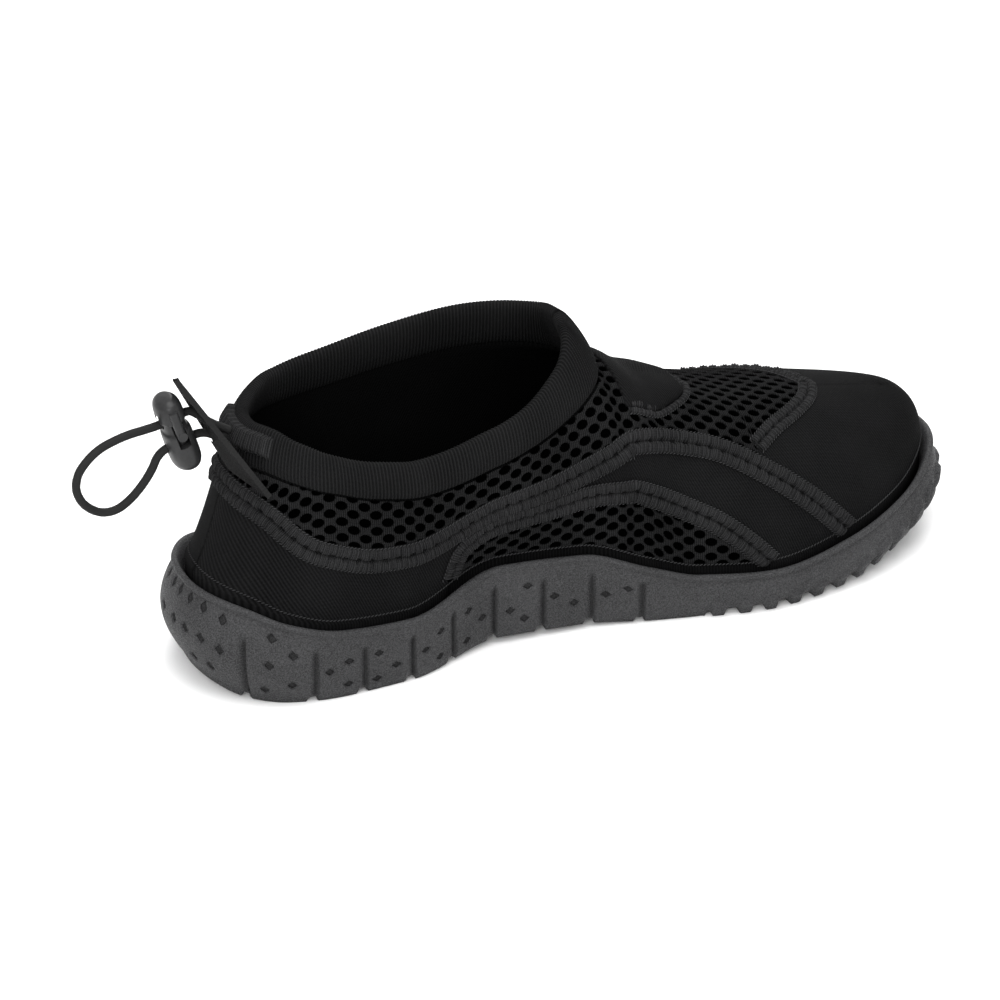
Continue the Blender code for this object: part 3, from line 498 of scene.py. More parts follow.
def sole_wall_inset(turn, share):
    """How far the outer wall stands inside its widest line at a share of its height."""
    low = np.clip(1 - share / BULGE_AT, 0, 1) ** 2 * read(SOLE, "foot_inset", share_of(turn))
    high = np.clip((share - BULGE_AT) / (1 - BULGE_AT), 0, 1) ** 2
    return WALL_ROUNDING * (low + high * read(SOLE, "rim_inset", share_of(turn)))


def smoothed(loop, rounds):
    """A closed loop of points, each drawn towards its neighbours a number of times."""
    for _ in range(rounds):
        loop = (np.roll(loop, 1, axis=0) + 2 * loop + np.roll(loop, -1, axis=0)) / 4
    return loop


def loop_normals(flat):
    """Outward normals of a closed loop seen from above."""
    along = np.roll(flat, -1, axis=0) - np.roll(flat, 1, axis=0)
    return unit(np.stack([-along[:, 1], along[:, 0]], -1))


def cuff_frames(turn):
    """The cuff's foot, its direction up and its direction out, at each turn round the throat."""
    seam = smoothed(upper_at(turn, np.ones(len(turn))), NORMAL_ROUNDS)
    out = place(loop_normals(seam[:, :2]), np.zeros(len(turn)))
    out = unit(smoothed(out, NORMAL_ROUNDS * 2))
    share = share_of(turn)
    rise = CUFF_RISE * by_side(CUFF, "_rise", share, turn)
    lean = CUFF_LEAN * by_side(CUFF, "_lean", share, turn)
    upright = np.array([0, 0, 1.0])
    foot = seam - out * UPPER_WALL / 2 + upright * GAP
    up = rise[:, None] * upright - lean[:, None] * out
    across = unit(rise[:, None] * out + lean[:, None] * upright)
    return foot, up, across


def cuff_row(foot, up, across, angle):
    """A line round the cuff's roll: angle 0 is its foot, and it goes up the outer side."""
    bulge = math.copysign(abs(math.sin(angle)) ** CUFF_FLATNESS, math.sin(angle))
    return foot + up * (1 - math.cos(angle)) / 2 + across * bulge * CUFF_THICKNESS / 2


def spread(rows, step):
    """Values along a table's path, evenly spaced over its length on the shoe."""
    height = next(values for name, values in rows.items() if name != "share")
    chord = np.hypot(np.diff(rows["share"]) * SHOE_LENGTH, np.diff(height) * COLLAR_HEIGHT)
    way = np.concatenate([[0], np.cumsum(chord)])
    along = {"share": way / way[-1], "place": rows["share"], "value": height}
    count = max(4, round(way[-1] / step))
    k = np.linspace(0, 1, count + 1)
    return read(along, "place", k), read(along, "value", k)


def crossing(rows, step):
    """A path that goes over the crest from the medial to the lateral side."""
    share, rise = spread(rows, step)
    turn = turn_of(share)
    return np.concatenate([-turn, turn[::-1]]), np.concatenate([rise, rise[::-1]])


def smooth_route(points, step):
    """Points a step apart along one smooth curve through a route."""
    points = np.array(points)
    ends = 2 * points[[0, -1]] - points[[1, -2]]
    points = np.concatenate([ends[:1], points, ends[1:]])
    fine = []
    for i in range(1, len(points) - 2):
        p0, p1, p2, p3 = points[i - 1 : i + 3]
        for k in np.linspace(0, 1, CURVE_STEPS, endpoint=False):
            fine.append(
                p1
                + (p2 - p0) * k / 2
                + (2 * p0 - 5 * p1 + 4 * p2 - p3) * k**2 / 2
                + (3 * p1 - 3 * p2 + p3 - p0) * k**3 / 2
            )
    fine = np.array(fine + [points[-2]])
    way = reached(fine)
    even = np.linspace(0, way[-1], math.ceil(way[-1] / step) + 1)
    return np.stack([np.interp(even, way, fine[:, i]) for i in range(3)], -1)


# The lock's barrel and its button: radii as shares of the barrel's, heights from the middle
LOCK_BARREL = (
    (0.0, -0.0135),
    (0.50, -0.0132),
    (0.82, -0.0122),
    (0.96, -0.0104),
    (1.0, -0.0075),
    (0.98, -0.0020),
    (0.96, 0.0010),
    (0.78, 0.0018),
    (0.74, 0.0058),
    (0.72, LOCK_MOUTH),
    (0.0, LOCK_MOUTH),
)
STEM = 0.60
BORE = STEM + 2 * BUTTON_CLEARANCE / LOCK_DEPTH
HEAD_FOOT = LOCK_MOUTH + BUTTON_TRAVEL + BUTTON_CLEARANCE
SKIRT_FOOT = 0.0055
RIDGE_RADIUS = 0.0015
LOCK_BUTTON = (
    (0.0, BUTTON_FOOT),
    (STEM, BUTTON_FOOT),
    (STEM, HEAD_FOOT),
    (0.83, HEAD_FOOT),
    (0.86, SKIRT_FOOT + 0.0006),
    (0.89, SKIRT_FOOT),
    (0.92, SKIRT_FOOT + 0.0006),
    (0.88, HEAD_FOOT),
    (0.78, HEAD_FOOT + 0.0018),
    (0.52, HEAD_FOOT + 0.0032),
    (0.0, HEAD_FOOT + 0.0036),
)


# How finely the pieces are divided
SOLE_COLUMNS = 1180
WALL_ROWS = 44
BOTTOM_ROWS = 12
SKIN_COLUMNS = 560
SKIN_ROWS = 72
LINING_ROWS = 20
VAMP_COLUMNS = 960
VAMP_ROWS = 88
WINDOW_COLUMNS = 230
WINDOW_ROWS = 52
CUFF_COLUMNS = 1500
CUFF_ROWS = 34
TAPE_COLUMN = 0.00024

# Fine forms, in metres
HOLE_PITCH = 0.0078
HOLE_ROW = 0.00275
HOLE_LENGTH = 0.0044
HOLE_WIDTH = 0.0033
HOLE_DEPTH = 0.0013
MESH_STAND = 0.0003
MESH_BED = 0.0016
CUFF_RIB_PITCH = 0.0012
CUFF_RIB_DEPTH = 0.00014
TAPE_RIB_PITCH = 0.00095
TAPE_RIB_DEPTH = 0.00026
DIAMOND_HALF = 0.00165
DIAMOND_DEPTH = 0.0009
WALL_SPAN = 0.026
GROOVE_RAMP = 0.0030
GROOVE_EDGE = 0.0005
STEP_DEPTH = 0.0017
DIAMOND_RIM = 1.25
DIAMOND_SOFT = 0.35
NO_DIAMOND = 3.0
RIM_THREAD = 0.0020
SKIN_TIP = 0.0030
SKIN_TIP_RUN = 0.03
BED_RUN = 0.04
TUCK = 0.002
INSIDE = (-0.002, 0.03)
CUFF_ROUND = 0.006
CUFF_RIB_FADE = 0.35
NORMAL_ROUNDS = 90

# The underside's wavy cuts, and the lumps that grow towards the toe's tip
TREAD_SWAY = 0.0022
TREAD_SWAY_PITCH = 0.024
TREAD_PITCH = 0.0086
TREAD_BAR = 0.0031
TREAD_SLOPE = 0.0006
TREAD_CUT = 0.0010
TOOTH_SOFT = 0.0004
TOOTH_SLOPE = 0.0016
LUMPS_FROM = 0.80
LUMPS_OVER = 0.12
LUMP_GROWTH = 0.4
LUMP_TOP = 0.30
LUMP_TOP_GROWTH = 0.42
LUMP_FADE = 0.16

# A pucker in the neoprene at the heel, and the swelling beside it
FOLD_START = (0.012, -0.026, 0.052)
FOLD_END = (0.038, -0.038, 0.066)
FOLD_WIDTH = 0.0018
FOLD_DEPTH = 0.0011
FOLD_SWELL_AWAY = 0.0042
FOLD_SWELL_WIDTH = 0.0026
FOLD_SWELL = 0.0008

# A tape's places across from edge to edge, its ends, its bed and how unevenly it puffs
TAPE_ACROSS = (-1, -0.94, -0.8, -0.62, -0.45, -0.28, -0.12, 0, 0.12, 0.28, 0.45, 0.62, 0.8, 0.94, 1)
TAPE_BENEATH = (0.6, -0.6)
THREAD_ACROSS = 0.94
SEAM_ACROSS = 0.2
TAPE_ENDS = 0.0015
TAPE_SINK = 0.0003
TAPE_BED = 0.0009
PUFF_LONG = 0.0071
PUFF_SHORT = 0.0037
NEEDLE_HALF = 0.0007
NEEDLE_SLOPE = 0.0005
THREAD_STEP = 0.0013
THREAD_LENGTH = 0.0016
THREAD_THICKNESS = 0.0004
CROSSING_STEP = 0.002

# The tongue's pad
PAD_HUMP_START = 0.575
PAD_HUMP_RUN = 0.045
PAD_ROWS = 60
PAD_COLUMNS = 81
PAD_AHEAD = 0.004
PAD_BED = 0.0006
PAD_BACK_END = 0.02
PAD_FRONT_END = 0.012

# Webbing of the tab, ribs of the cord channel and braid of the cord
TAB_COLUMNS = 61
TAB_ROWS = 70
TAB_FRAY = 0.00025
TAB_SEED = 7
CHANNEL_ROWS = 14
CHANNEL_ENDS = 0.002
CHANNEL_BED = 0.0006
CHANNEL_GAP = 0.0001
CHANNEL_RIB_PITCH = 0.0015
CHANNEL_RIB_DEPTH = 0.00022
CORD_STEP = 0.0005
CORD_SIDES = 28
BRAID_STRANDS = 8
BRAID_PITCH = 0.0042
BRAID_DEPTH = 0.00007

# Grains, fuzz and pale patches along a metre
RUBBER_GRAIN = 2300
RUBBER_PATCH = 60
CLOTH_FUZZ = 2200
CLOTH_PATCH = 45
PLASTIC_GRAIN = 900

# The floor, and each lamp's name, place, aim, size and power
FLOOR_HALF = 4
FLOOR_DROP = 0.0001
LAMPS = (
    ("top_light", (-0.1, -0.2, 1.3), (0, 0, 0), 0.9, 14),
    ("side_light", (-0.7, -1.0, 0.8), (0, 0, 0.05), 0.6, 9),
    ("back_light", (0.6, 1.0, 0.9), (0, 0, 0.05), 0.7, 7),
)

# The rim's lip: inward in lip reaches, down in lip heights
LIP_PROFILE = (
    (-0.35, 0.88),
    (-0.85, 0.65),
    (-1.0, 0.42),
    (-0.7, 0.20),
    (0.2, 0.02),
    (1.2, 0.06),
    (2.1, 0.45),
    (2.8, 1.05),
)
CHANNEL_TURNS = (-0.52, 0.42)
CHANNEL_STAND = 0.0020

# The recessed diamonds of each side block: share of the wall, metres along from its middle
BLOCK_DIAMONDS = (
    ((0.86, -0.0015), (0.50, -0.0025), (0.68, 0.0055), (0.22, 0.0050), (0.11, -0.0045)),
    ((0.41, -0.0030), (0.56, 0.0038), (0.12, 0.0035)),
    ((0.60, -0.0027), (0.28, 0.0035), (0.09, -0.0035)),
    ((0.60, 0.0036), (0.40, -0.0028), (0.11, 0.0032)),
    ((0.60, -0.0010), (0.34, 0.0048), (0.09, -0.0018)),
    ((0.70, 0.0040), (0.32, -0.0022), (0.15, 0.0028)),
    ((0.46, -0.0038), (0.30, 0.0032)),
    ((0.42, -0.0030), (0.58, 0.0046)),
)
# The heel's own rows: metres from the heel's back, share of the wall
HEEL_DIAMONDS = (
    (0.0030, 0.92),
    (0.0100, 0.92),
    (0.0175, 0.92),
    (0.0260, 0.88),
    (0.0045, 0.60),
    (0.0112, 0.59),
    (0.0185, 0.58),
    (0.0258, 0.54),
    (0.0140, 0.24),
    (0.0213, 0.24),
)


# Node trees


class Tree:
    """Adds nodes to a node tree and joins them."""

    def __init__(self, tree):
        self.tree = tree

    def node(self, kind, inputs=(), **settings):
        made = self.tree.nodes.new(kind)
        for name, value in settings.items():
            setattr(made, name, value)
        for key, value in dict(inputs).items():
            if isinstance(value, bpy.types.NodeSocket):
                self.tree.links.new(value, made.inputs[key])
            else:
                made.inputs[key].default_value = value
        return made

    def math(self, operation, *values):
        return self.node("ShaderNodeMath", enumerate(values), operation=operation).outputs[0]

    def plus(self, first, second):
        return self.math("ADD", first, second)

    def less(self, first, second):
        return self.math("SUBTRACT", first, second)

    def times(self, first, second):
        return self.math("MULTIPLY", first, second)

    def clamped(self, value, start, end, low, high):
        inputs = {"Value": value, "From Min": start, "From Max": end, "To Min": low, "To Max": high}
        return self.node("ShaderNodeMapRange", inputs, interpolation_type="SMOOTHSTEP").outputs[0]

    def wave(self, value, pitch):
        turns = self.math("DIVIDE", value, pitch)
        return self.math("COSINE", self.times(turns, 2 * math.pi))


def shader_tree(name):
    material = bpy.data.materials.new(name)
    material.use_nodes = True
    tree = Tree(material.node_tree)
    shader = material.node_tree.nodes["Principled BSDF"]
    return material, tree, shader


def noise(tree, place, scale, detail=3.0):
    inputs = {"Vector": place, "Scale": scale, "Detail": detail}
    return tree.node("ShaderNodeTexNoise", inputs).outputs["Fac"]


def put_colour(tree, shader, colour, factor):
    """The base colour times a factor socket."""
    mixed = tree.node("ShaderNodeVectorMath", {0: colour, "Scale": factor}, operation="SCALE")
    tree.tree.links.new(mixed.outputs["Vector"], shader.inputs["Base Color"])


def put_bump(tree, shader, height, distance):
    bump = tree.node("ShaderNodeBump", {"Height": height, "Distance": distance, "Strength": 1.0})
    tree.tree.links.new(bump.outputs["Normal"], shader.inputs["Normal"])


def object_place(tree):
    return tree.node("ShaderNodeTexCoord").outputs["Object"]


def attribute(tree, name, output):
    return tree.node("ShaderNodeAttribute", attribute_name=name).outputs[output]


def rubber_finish():
    """Grained rubber, with painted shade in the diamonds and the grooves' steps and a painted highlight on
    the diamonds' rims.
    """
    material, tree, shader = shader_tree("rubber_grain")
    here = object_place(tree)
    grain = noise(tree, here, RUBBER_GRAIN, 2)
    patch = noise(tree, here, RUBBER_PATCH, 3)
    factor = tree.plus(tree.clamped(grain, 0.3, 0.72, 0.55, 1.5), tree.clamped(patch, 0.3, 0.7, -0.12, 0.12))
    marks = tree.node("ShaderNodeSeparateXYZ", {0: attribute(tree, "cloth", "Vector")})
    # Painted shade: the colour falls to 38% inside each recessed diamond
    pit = tree.clamped(marks.outputs[0], 0.92, 1.12, 1.0, 0.0)
    # Painted highlight: the colour rises by up to 22% on the ring round each diamond's rim
    rim = tree.clamped(marks.outputs[0], 1.1, 1.45, 0.22, 0.0)
    shade = tree.less(1.0, tree.times(pit, 0.62))
    shade = tree.plus(shade, tree.times(rim, tree.less(1.0, pit)))
    # Painted shade: the colour falls to 30% at the foot of each side groove's step
    shade = tree.times(shade, tree.less(1.0, tree.times(marks.outputs[1], 0.7)))
    put_colour(tree, shader, (0.030, 0.030, 0.0312), tree.times(factor, shade))
    put_bump(tree, shader, tree.less(grain, tree.times(pit, 1.6)), 0.0004)
    gloss = tree.clamped(grain, 0.35, 0.7, 0.72, 0.42)
    tree.tree.links.new(gloss, shader.inputs["Roughness"])
    shader.inputs["Specular IOR Level"].default_value = 0.22
    return material


def cloth_finish(
    name,
    colour,
    pitch,
    bump,
    sheen=0.0,
    roughness=0.85,
    gloss=0.05,
    hole=False,
    seam=False,
    painted_shade_inside=False,
    slant=0.0,
    cross=0.1,
):
    """A knit face: fine ribs along the cloth, fuzz and, where asked, painted shade in the holes, along the
    seams and on the inside face.
    """
    material, tree, shader = shader_tree(name)
    flat = attribute(tree, "cloth", "Vector")
    split = tree.node("ShaderNodeSeparateXYZ", {0: flat})
    along, down = split.outputs[0], split.outputs[1]
    across = tree.plus(along, tree.times(down, slant))
    rib = tree.wave(across, pitch)
    loop = tree.wave(down, pitch * 1.3)
    here = object_place(tree)
    fuzz = noise(tree, here, CLOTH_FUZZ, 2)
    patch = noise(tree, here, CLOTH_PATCH, 3)
    height = tree.plus(tree.plus(tree.times(rib, 0.5), tree.times(loop, cross)), fuzz)
    factor = tree.plus(tree.clamped(height, -0.3, 1.3, 0.5, 1.5), tree.clamped(patch, 0.3, 0.7, -0.15, 0.15))
    # Painted shade: the colour falls to 3% in the mesh's holes
    if hole:
        dark = attribute(tree, "hole", "Fac")
        factor = tree.times(factor, tree.clamped(dark, 0.12, 0.55, 1.0, 0.03))
    # Painted shade: the colour falls towards 30% where the mask, the tape's height across it, is low, at its
    # edges and along its middle seam
    if seam:
        factor = tree.times(factor, tree.clamped(split.outputs[2], 0.1, 0.7, 0.3, 1.0))
    # Painted shade: the colour falls to 35% where the mask is 1, on the bootie's inside face
    if painted_shade_inside:
        factor = tree.times(factor, tree.clamped(split.outputs[2], 0.3, 0.7, 1.0, 0.35))
    put_colour(tree, shader, colour, factor)
    put_bump(tree, shader, height, bump)
    shader.inputs["Roughness"].default_value = roughness
    shader.inputs["Specular IOR Level"].default_value = gloss
    shader.inputs["Sheen Weight"].default_value = sheen
    shader.inputs["Sheen Roughness"].default_value = 0.5
    return material


def plastic_finish():
    material, tree, shader = shader_tree("lock_moulding")
    grain = noise(tree, object_place(tree), PLASTIC_GRAIN, 2)
    put_colour(tree, shader, (0.017, 0.017, 0.0175), tree.clamped(grain, 0.3, 0.7, 0.9, 1.1))
    put_bump(tree, shader, grain, 0.00003)
    shader.inputs["Roughness"].default_value = 0.38
    shader.inputs["Specular IOR Level"].default_value = 0.24
    return material


def relief_tree(name, settings):
    """An empty Geometry Nodes tree with named inputs: returns it, its input node and output."""
    tree = bpy.data.node_groups.new(name, "GeometryNodeTree")
    tree.interface.new_socket("Geometry", in_out="INPUT", socket_type="NodeSocketGeometry")
    for label, value in settings.items():
        kind = "NodeSocketMaterial" if isinstance(value, bpy.types.Material) else "NodeSocketFloat"
        tree.interface.new_socket(label, in_out="INPUT", socket_type=kind)
    tree.interface.new_socket("Geometry", in_out="OUTPUT", socket_type="NodeSocketGeometry")
    return Tree(tree), tree.nodes.new("NodeGroupInput"), tree.nodes.new("NodeGroupOutput")


def settle(made):
    """Keeps what an object's modifiers make of it as its plain mesh."""
    bpy.context.view_layer.update()
    changed = made.evaluated_get(bpy.context.evaluated_depsgraph_get())
    result = bpy.data.meshes.new_from_object(changed)
    made.modifiers.clear()
    made.data = result


def run_tree(made, tree, settings):
    """Runs a Geometry Nodes tree on an object."""
    change = made.modifiers.new(tree.tree.name, "NODES")
    change.node_group = tree.tree
    for socket in tree.tree.interface.items_tree:
        if socket.in_out == "INPUT" and socket.name in settings:
            change[socket.identifier] = settings[socket.name]
    settle(made)


def close_tree(tree, geometry, output, material):
    real = tree.node("GeometryNodeRealizeInstances", {"Geometry": geometry}).outputs[0]
    done = tree.node("GeometryNodeSetMaterial", {"Geometry": real, "Material": material}).outputs[0]
    tree.tree.links.new(done, output.inputs[0])


def named(tree, name, kind):
    return tree.node("GeometryNodeInputNamedAttribute", {"Name": name}, data_type=kind).outputs[0]


def pushed(tree, geometry, distance):
    """The geometry moved along its own normals by a distance."""
    normal = tree.node("GeometryNodeInputNormal").outputs[0]
    step = tree.node("ShaderNodeVectorMath", {0: normal, "Scale": distance}, operation="SCALE")
    return tree.node("GeometryNodeSetPosition", {"Geometry": geometry, "Offset": step.outputs[0]}).outputs[0]


def punch_holes(made, material):
    """The knitted mesh's holes: two staggered rows of ovals, pressed in."""
    settings = {
        "Pitch": HOLE_PITCH,
        "Row": HOLE_ROW,
        "Hole length": HOLE_LENGTH,
        "Hole width": HOLE_WIDTH,
        "Depth": HOLE_DEPTH,
        "Material": material,
    }
    tree, given, output = relief_tree("mesh_holes", settings)
    split = tree.node("ShaderNodeSeparateXYZ", {0: named(tree, "cloth", "FLOAT_VECTOR")})
    double_row = tree.times(given.outputs["Row"], 2.0)
    nearest = None
    for phase in (0.0, 0.5):
        squares = []
        for value, pitch, size in (
            (split.outputs[0], given.outputs["Pitch"], given.outputs["Hole length"]),
            (split.outputs[1], double_row, given.outputs["Hole width"]),
        ):
            turns = tree.plus(tree.math("DIVIDE", value, pitch), phase)
            offset = tree.times(tree.less(tree.math("FRACT", turns), 0.5), pitch)
            share = tree.math("DIVIDE", offset, tree.times(size, 0.5))
            squares.append(tree.times(share, share))
        reach = tree.math("SQRT", tree.plus(*squares))
        nearest = reach if nearest is None else tree.math("MINIMUM", nearest, reach)
    # The hole mask: it presses the holes in, and the mesh's shader paints shade in them
    hole = tree.times(tree.clamped(nearest, 0.62, 1.12, 1.0, 0.0), split.outputs[2])
    stored = tree.node(
        "GeometryNodeStoreNamedAttribute",
        {"Geometry": given.outputs["Geometry"], "Name": "hole", "Value": hole},
        data_type="FLOAT",
    ).outputs[0]
    depth = tree.times(tree.times(hole, given.outputs["Depth"]), -1.0)
    close_tree(tree, pushed(tree, stored, depth), output, given.outputs["Material"])
    run_tree(made, tree, settings)


def press_ribs(made, pitch, depth, material):
    """Fine ribs across a band: a wave along its length."""
    settings = {"Pitch": pitch, "Depth": depth, "Material": material}
    tree, given, output = relief_tree("ribs", settings)
    split = tree.node("ShaderNodeSeparateXYZ", {0: named(tree, "cloth", "FLOAT_VECTOR")})
    wave = tree.wave(split.outputs[0], given.outputs["Pitch"])
    push = tree.times(tree.times(wave, given.outputs["Depth"]), split.outputs[2])
    close_tree(tree, pushed(tree, given.outputs["Geometry"], push), output, given.outputs["Material"])
    run_tree(made, tree, settings)


def sew_stitches(made, pitch, length, thickness, slant, material):
    """Short threads laid along paths, each leaning across its path."""
    settings = {
        "Pitch": pitch,
        "Length": length,
        "Thickness": thickness,
        "Slant": slant,
        "Material": material,
    }
    tree, given, output = relief_tree("stitches", settings)
    path = tree.node("GeometryNodeMeshToCurve", {0: given.outputs["Geometry"]}).outputs[0]
    spacing = {"Curve": path, "Length": given.outputs["Pitch"]}
    spots = tree.node("GeometryNodeResampleCurve", spacing, mode="LENGTH")
    thread = tree.node("GeometryNodeMeshUVSphere", {"Segments": 6, "Rings": 3, "Radius": 0.5}).outputs[0]
    size = tree.node(
        "ShaderNodeCombineXYZ",
        {0: given.outputs["Length"], 1: given.outputs["Thickness"], 2: given.outputs["Thickness"]},
    ).outputs[0]
    tangent = tree.node("GeometryNodeInputTangent").outputs[0]
    along = tree.node("FunctionNodeAlignRotationToVector", {"Vector": tangent}, axis="X").outputs[0]
    facing = named(tree, "facing", "FLOAT_VECTOR")
    up = tree.node(
        "FunctionNodeAlignRotationToVector",
        {"Rotation": along, "Vector": facing},
        axis="Z",
        pivot_axis="X",
    ).outputs[0]
    lean = tree.node("ShaderNodeCombineXYZ", {2: given.outputs["Slant"]}).outputs[0]
    leaning = tree.node("FunctionNodeEulerToRotation", {0: lean}).outputs[0]
    turned_up = tree.node(
        "FunctionNodeRotateRotation",
        {0: up, 1: leaning},
        rotation_space="LOCAL",
    ).outputs[0]
    laid = tree.node(
        "GeometryNodeInstanceOnPoints",
        {"Points": spots.outputs[0], "Instance": thread, "Rotation": turned_up, "Scale": size},
    ).outputs[0]
    close_tree(tree, laid, output, given.outputs["Material"])
    run_tree(made, tree, settings)
    made.data.shade_smooth()


# Meshes


def quads(rows, columns, round_rows=False, round_columns=False):
    """Faces of a grid of points, which may close on itself either way."""
    i = np.arange(rows if round_rows else rows - 1)[:, None]
    j = np.arange(columns if round_columns else columns - 1)[None, :]
    next_i, next_j = (i + 1) % rows, (j + 1) % columns
    corners = (i * columns + j, i * columns + next_j, next_i * columns + next_j, next_i * columns + j)
    return np.stack(corners, -1).reshape(-1, 4)


def plain_object(name, data):
    made = bpy.data.objects.new(name, data)
    bpy.context.scene.collection.objects.link(made)
    return made


def new_piece(name, points, faces, material, cloth=None):
    """An object from points worked out with the heel's back at x = 0."""
    points = np.asarray(points, float).reshape(-1, 3) + SHIFT
    mesh = bpy.data.meshes.new(name)
    mesh.vertices.add(len(points))
    mesh.vertices.foreach_set("co", points.astype(np.float32).ravel())
    if faces.shape[1] == 2:
        mesh.edges.add(len(faces))
        mesh.edges.foreach_set("vertices", faces.astype(np.int32).ravel())
    else:
        mesh.loops.add(faces.size)
        mesh.loops.foreach_set("vertex_index", faces.astype(np.int32).ravel())
        mesh.polygons.add(len(faces))
        starts = np.arange(0, faces.size, faces.shape[1], dtype=np.int32)
        mesh.polygons.foreach_set("loop_start", starts)
    mesh.update(calc_edges=True)
    if cloth is not None:
        layer = mesh.attributes.new("cloth", "FLOAT_VECTOR", "POINT")
        layer.data.foreach_set("vector", np.asarray(cloth, np.float32).reshape(-1, 3).ravel())
    mesh.materials.append(material)
    return plain_object(name, mesh)


def weld(made, closed=True):
    """Joins points that meet, fills open ends, and turns faces outward."""
    work = bmesh.new()
    work.from_mesh(made.data)
    bmesh.ops.remove_doubles(work, verts=work.verts, dist=2e-6)
    bmesh.ops.dissolve_degenerate(work, edges=work.edges, dist=1e-7)
    if closed:
        rims = [edge for edge in work.edges if edge.is_boundary]
        if rims:
            bmesh.ops.holes_fill(work, edges=rims, sides=0)
        bmesh.ops.recalc_face_normals(work, faces=work.faces)
        if work.calc_volume(signed=True) < 0:
            bmesh.ops.reverse_faces(work, faces=work.faces)
    work.to_mesh(made.data)
    work.free()
    made.data.shade_smooth()


def show(made, slot, *nodes, body="shoe"):
    """Says what a piece rides on and hides the CAD nodes it stands for; slot, its finish, is not used."""
    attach(made, body)
    if nodes:
        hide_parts(*nodes)
    return made


# Places on the upper


def on_cloth(shape, along, down, mask):
    """Each point's place on the cloth laid flat and its mask, spread over a grid of points."""
    return np.stack([np.broadcast_to(value, shape) for value in (along, down, mask)], -1)


def grid_of(turn, rise):
    """Turns down the columns and rises along the rows, as full grids."""
    turn, rise = np.broadcast_arrays(np.asarray(turn)[:, None], rise)
    return turn.copy(), rise.copy()


def rise_at(turn, height):
    """How far up the upper a height is, at each turn."""
    rises = np.linspace(0, 1, FINE_STEPS)
    heights = upper_at(*grid_of(turn, rises[None, :]))[..., 2]
    height = np.broadcast_to(height, turn.shape)
    k = np.clip((heights < height[:, None]).sum(1), 1, len(rises) - 1)
    low = np.take_along_axis(heights, k[:, None] - 1, 1)[:, 0]
    high = np.take_along_axis(heights, k[:, None], 1)[:, 0]
    return (k - 1 + np.clip((height - low) / (high - low), 0, 1)) / (len(rises) - 1)


def lowest_rise(turn):
    return rise_at(turn, rim_height(turn) + RIM_CLEARANCE)


def along_shoe(turn):
    """Metres along the shoe at each turn, on a line partway up the upper."""
    fine = np.linspace(0, math.pi, 1500)
    way = reached(upper_at(fine, np.full(len(fine), 0.72)))
    return np.interp(np.abs(wrapped(turn)), fine, way)


def flat_cloth(turn, rise, mask):
    """Each point's place on the cloth laid flat: along, down from the middle, and a mask."""
    columns = turn[:, 0]
    rises = np.linspace(1, 0, FINE_STEPS)
    fine = upper_at(*grid_of(columns, rises[None, :]))
    steps = np.linalg.norm(np.diff(fine, axis=1), axis=-1)
    down = np.concatenate([np.zeros((len(columns), 1)), np.cumsum(steps, axis=1)], axis=1)
    start = np.abs(fine[:, 0, 1] - middle(share_of(columns)))
    k = (1 - rise) * (FINE_STEPS - 1)
    i = np.clip(k.astype(int), 0, FINE_STEPS - 2)
    low = np.take_along_axis(down, i, 1)
    high = np.take_along_axis(down, i + 1, 1)
    side = np.where(columns < 0, -1.0, 1.0)
    depth = (low + (high - low) * (k - i) + start[:, None]) * side[:, None]
    return on_cloth(depth.shape, along_shoe(columns)[:, None], depth, mask)


def tape_line(rows, step=0.0005):
    """A side tape's path as shares and rises: heights come from its table."""
    share, height = spread(rows, step)
    turn = turn_of(share)
    rise = np.maximum(rise_at(turn, COLLAR_HEIGHT * height), lowest_rise(turn))
    return share, rise


def mesh_floor(turn):
    """The rise where the vamp's mesh begins, under the side and toe tapes."""
    share = share_of(turn)
    side = np.interp(share, *tape_line(SIDE_TAPE))
    toe = read(TOE_TAPE, "rise", share)
    return np.where(share > TOE_TAPE["share"][0], np.maximum(side, toe), side)


# The sole


def groove_places():
    return [HEEL_GROOVE] + [GROOVE_FIRST + i * GROOVE_PITCH for i in range(GROOVE_COUNT)]


def groove_field(along, share):
    """1 at the foot of each side groove's step, falling to 0 along its ramp."""
    field = np.zeros(np.broadcast(along, share).shape)
    fade = ease((0.86 - share) / 0.22)
    for at in groove_places():
        ramp = np.clip((along - at + GROOVE_RAMP / 2) / GROOVE_RAMP, 0, 1) ** 1.6
        stop = 1 - ease((along - at - GROOVE_RAMP / 2) / GROOVE_EDGE)
        field = np.maximum(field, ramp * stop * fade)
    return field


def diamond_field(along, share):
    """How far each point of the wall is from the nearest diamond, in half diamonds."""
    field = np.full(np.broadcast(along, share).shape, NO_DIAMOND)
    places = list(HEEL_DIAMONDS)
    starts = groove_places()
    for start, end, block in zip(starts, starts[1:], BLOCK_DIAMONDS):
        places += [((start + end) / 2 + offset, height) for height, offset in block]
    for at, height in places:
        near = (np.abs(along - at) + np.abs(share - height) * WALL_SPAN) / DIAMOND_HALF
        field = np.minimum(field, near)
    return field


def tooth_stand(along):
    """1 on the forefoot's teeth, 0 between them, and 1 all along before the first."""
    ahead = (along - TOOTH_START) / TOOTH_PITCH
    near = np.abs(ahead - np.round(ahead)) * TOOTH_PITCH
    tooth = 1 - ease((near - TOOTH_WIDTH / 2 + TOOTH_SOFT) / TOOTH_SLOPE)
    return np.where(along < TOOTH_START - TOOTH_WIDTH, 1.0, tooth)


def tread_cut(points):
    """Wavy grooves across the underside."""
    wave = points[..., 0] + TREAD_SWAY * np.sin(points[..., 1] * 2 * math.pi / TREAD_SWAY_PITCH)
    near = np.abs((wave / TREAD_PITCH) % 1 - 0.5) * TREAD_PITCH
    return TREAD_CUT * ease((near - TREAD_BAR) / TREAD_SLOPE)


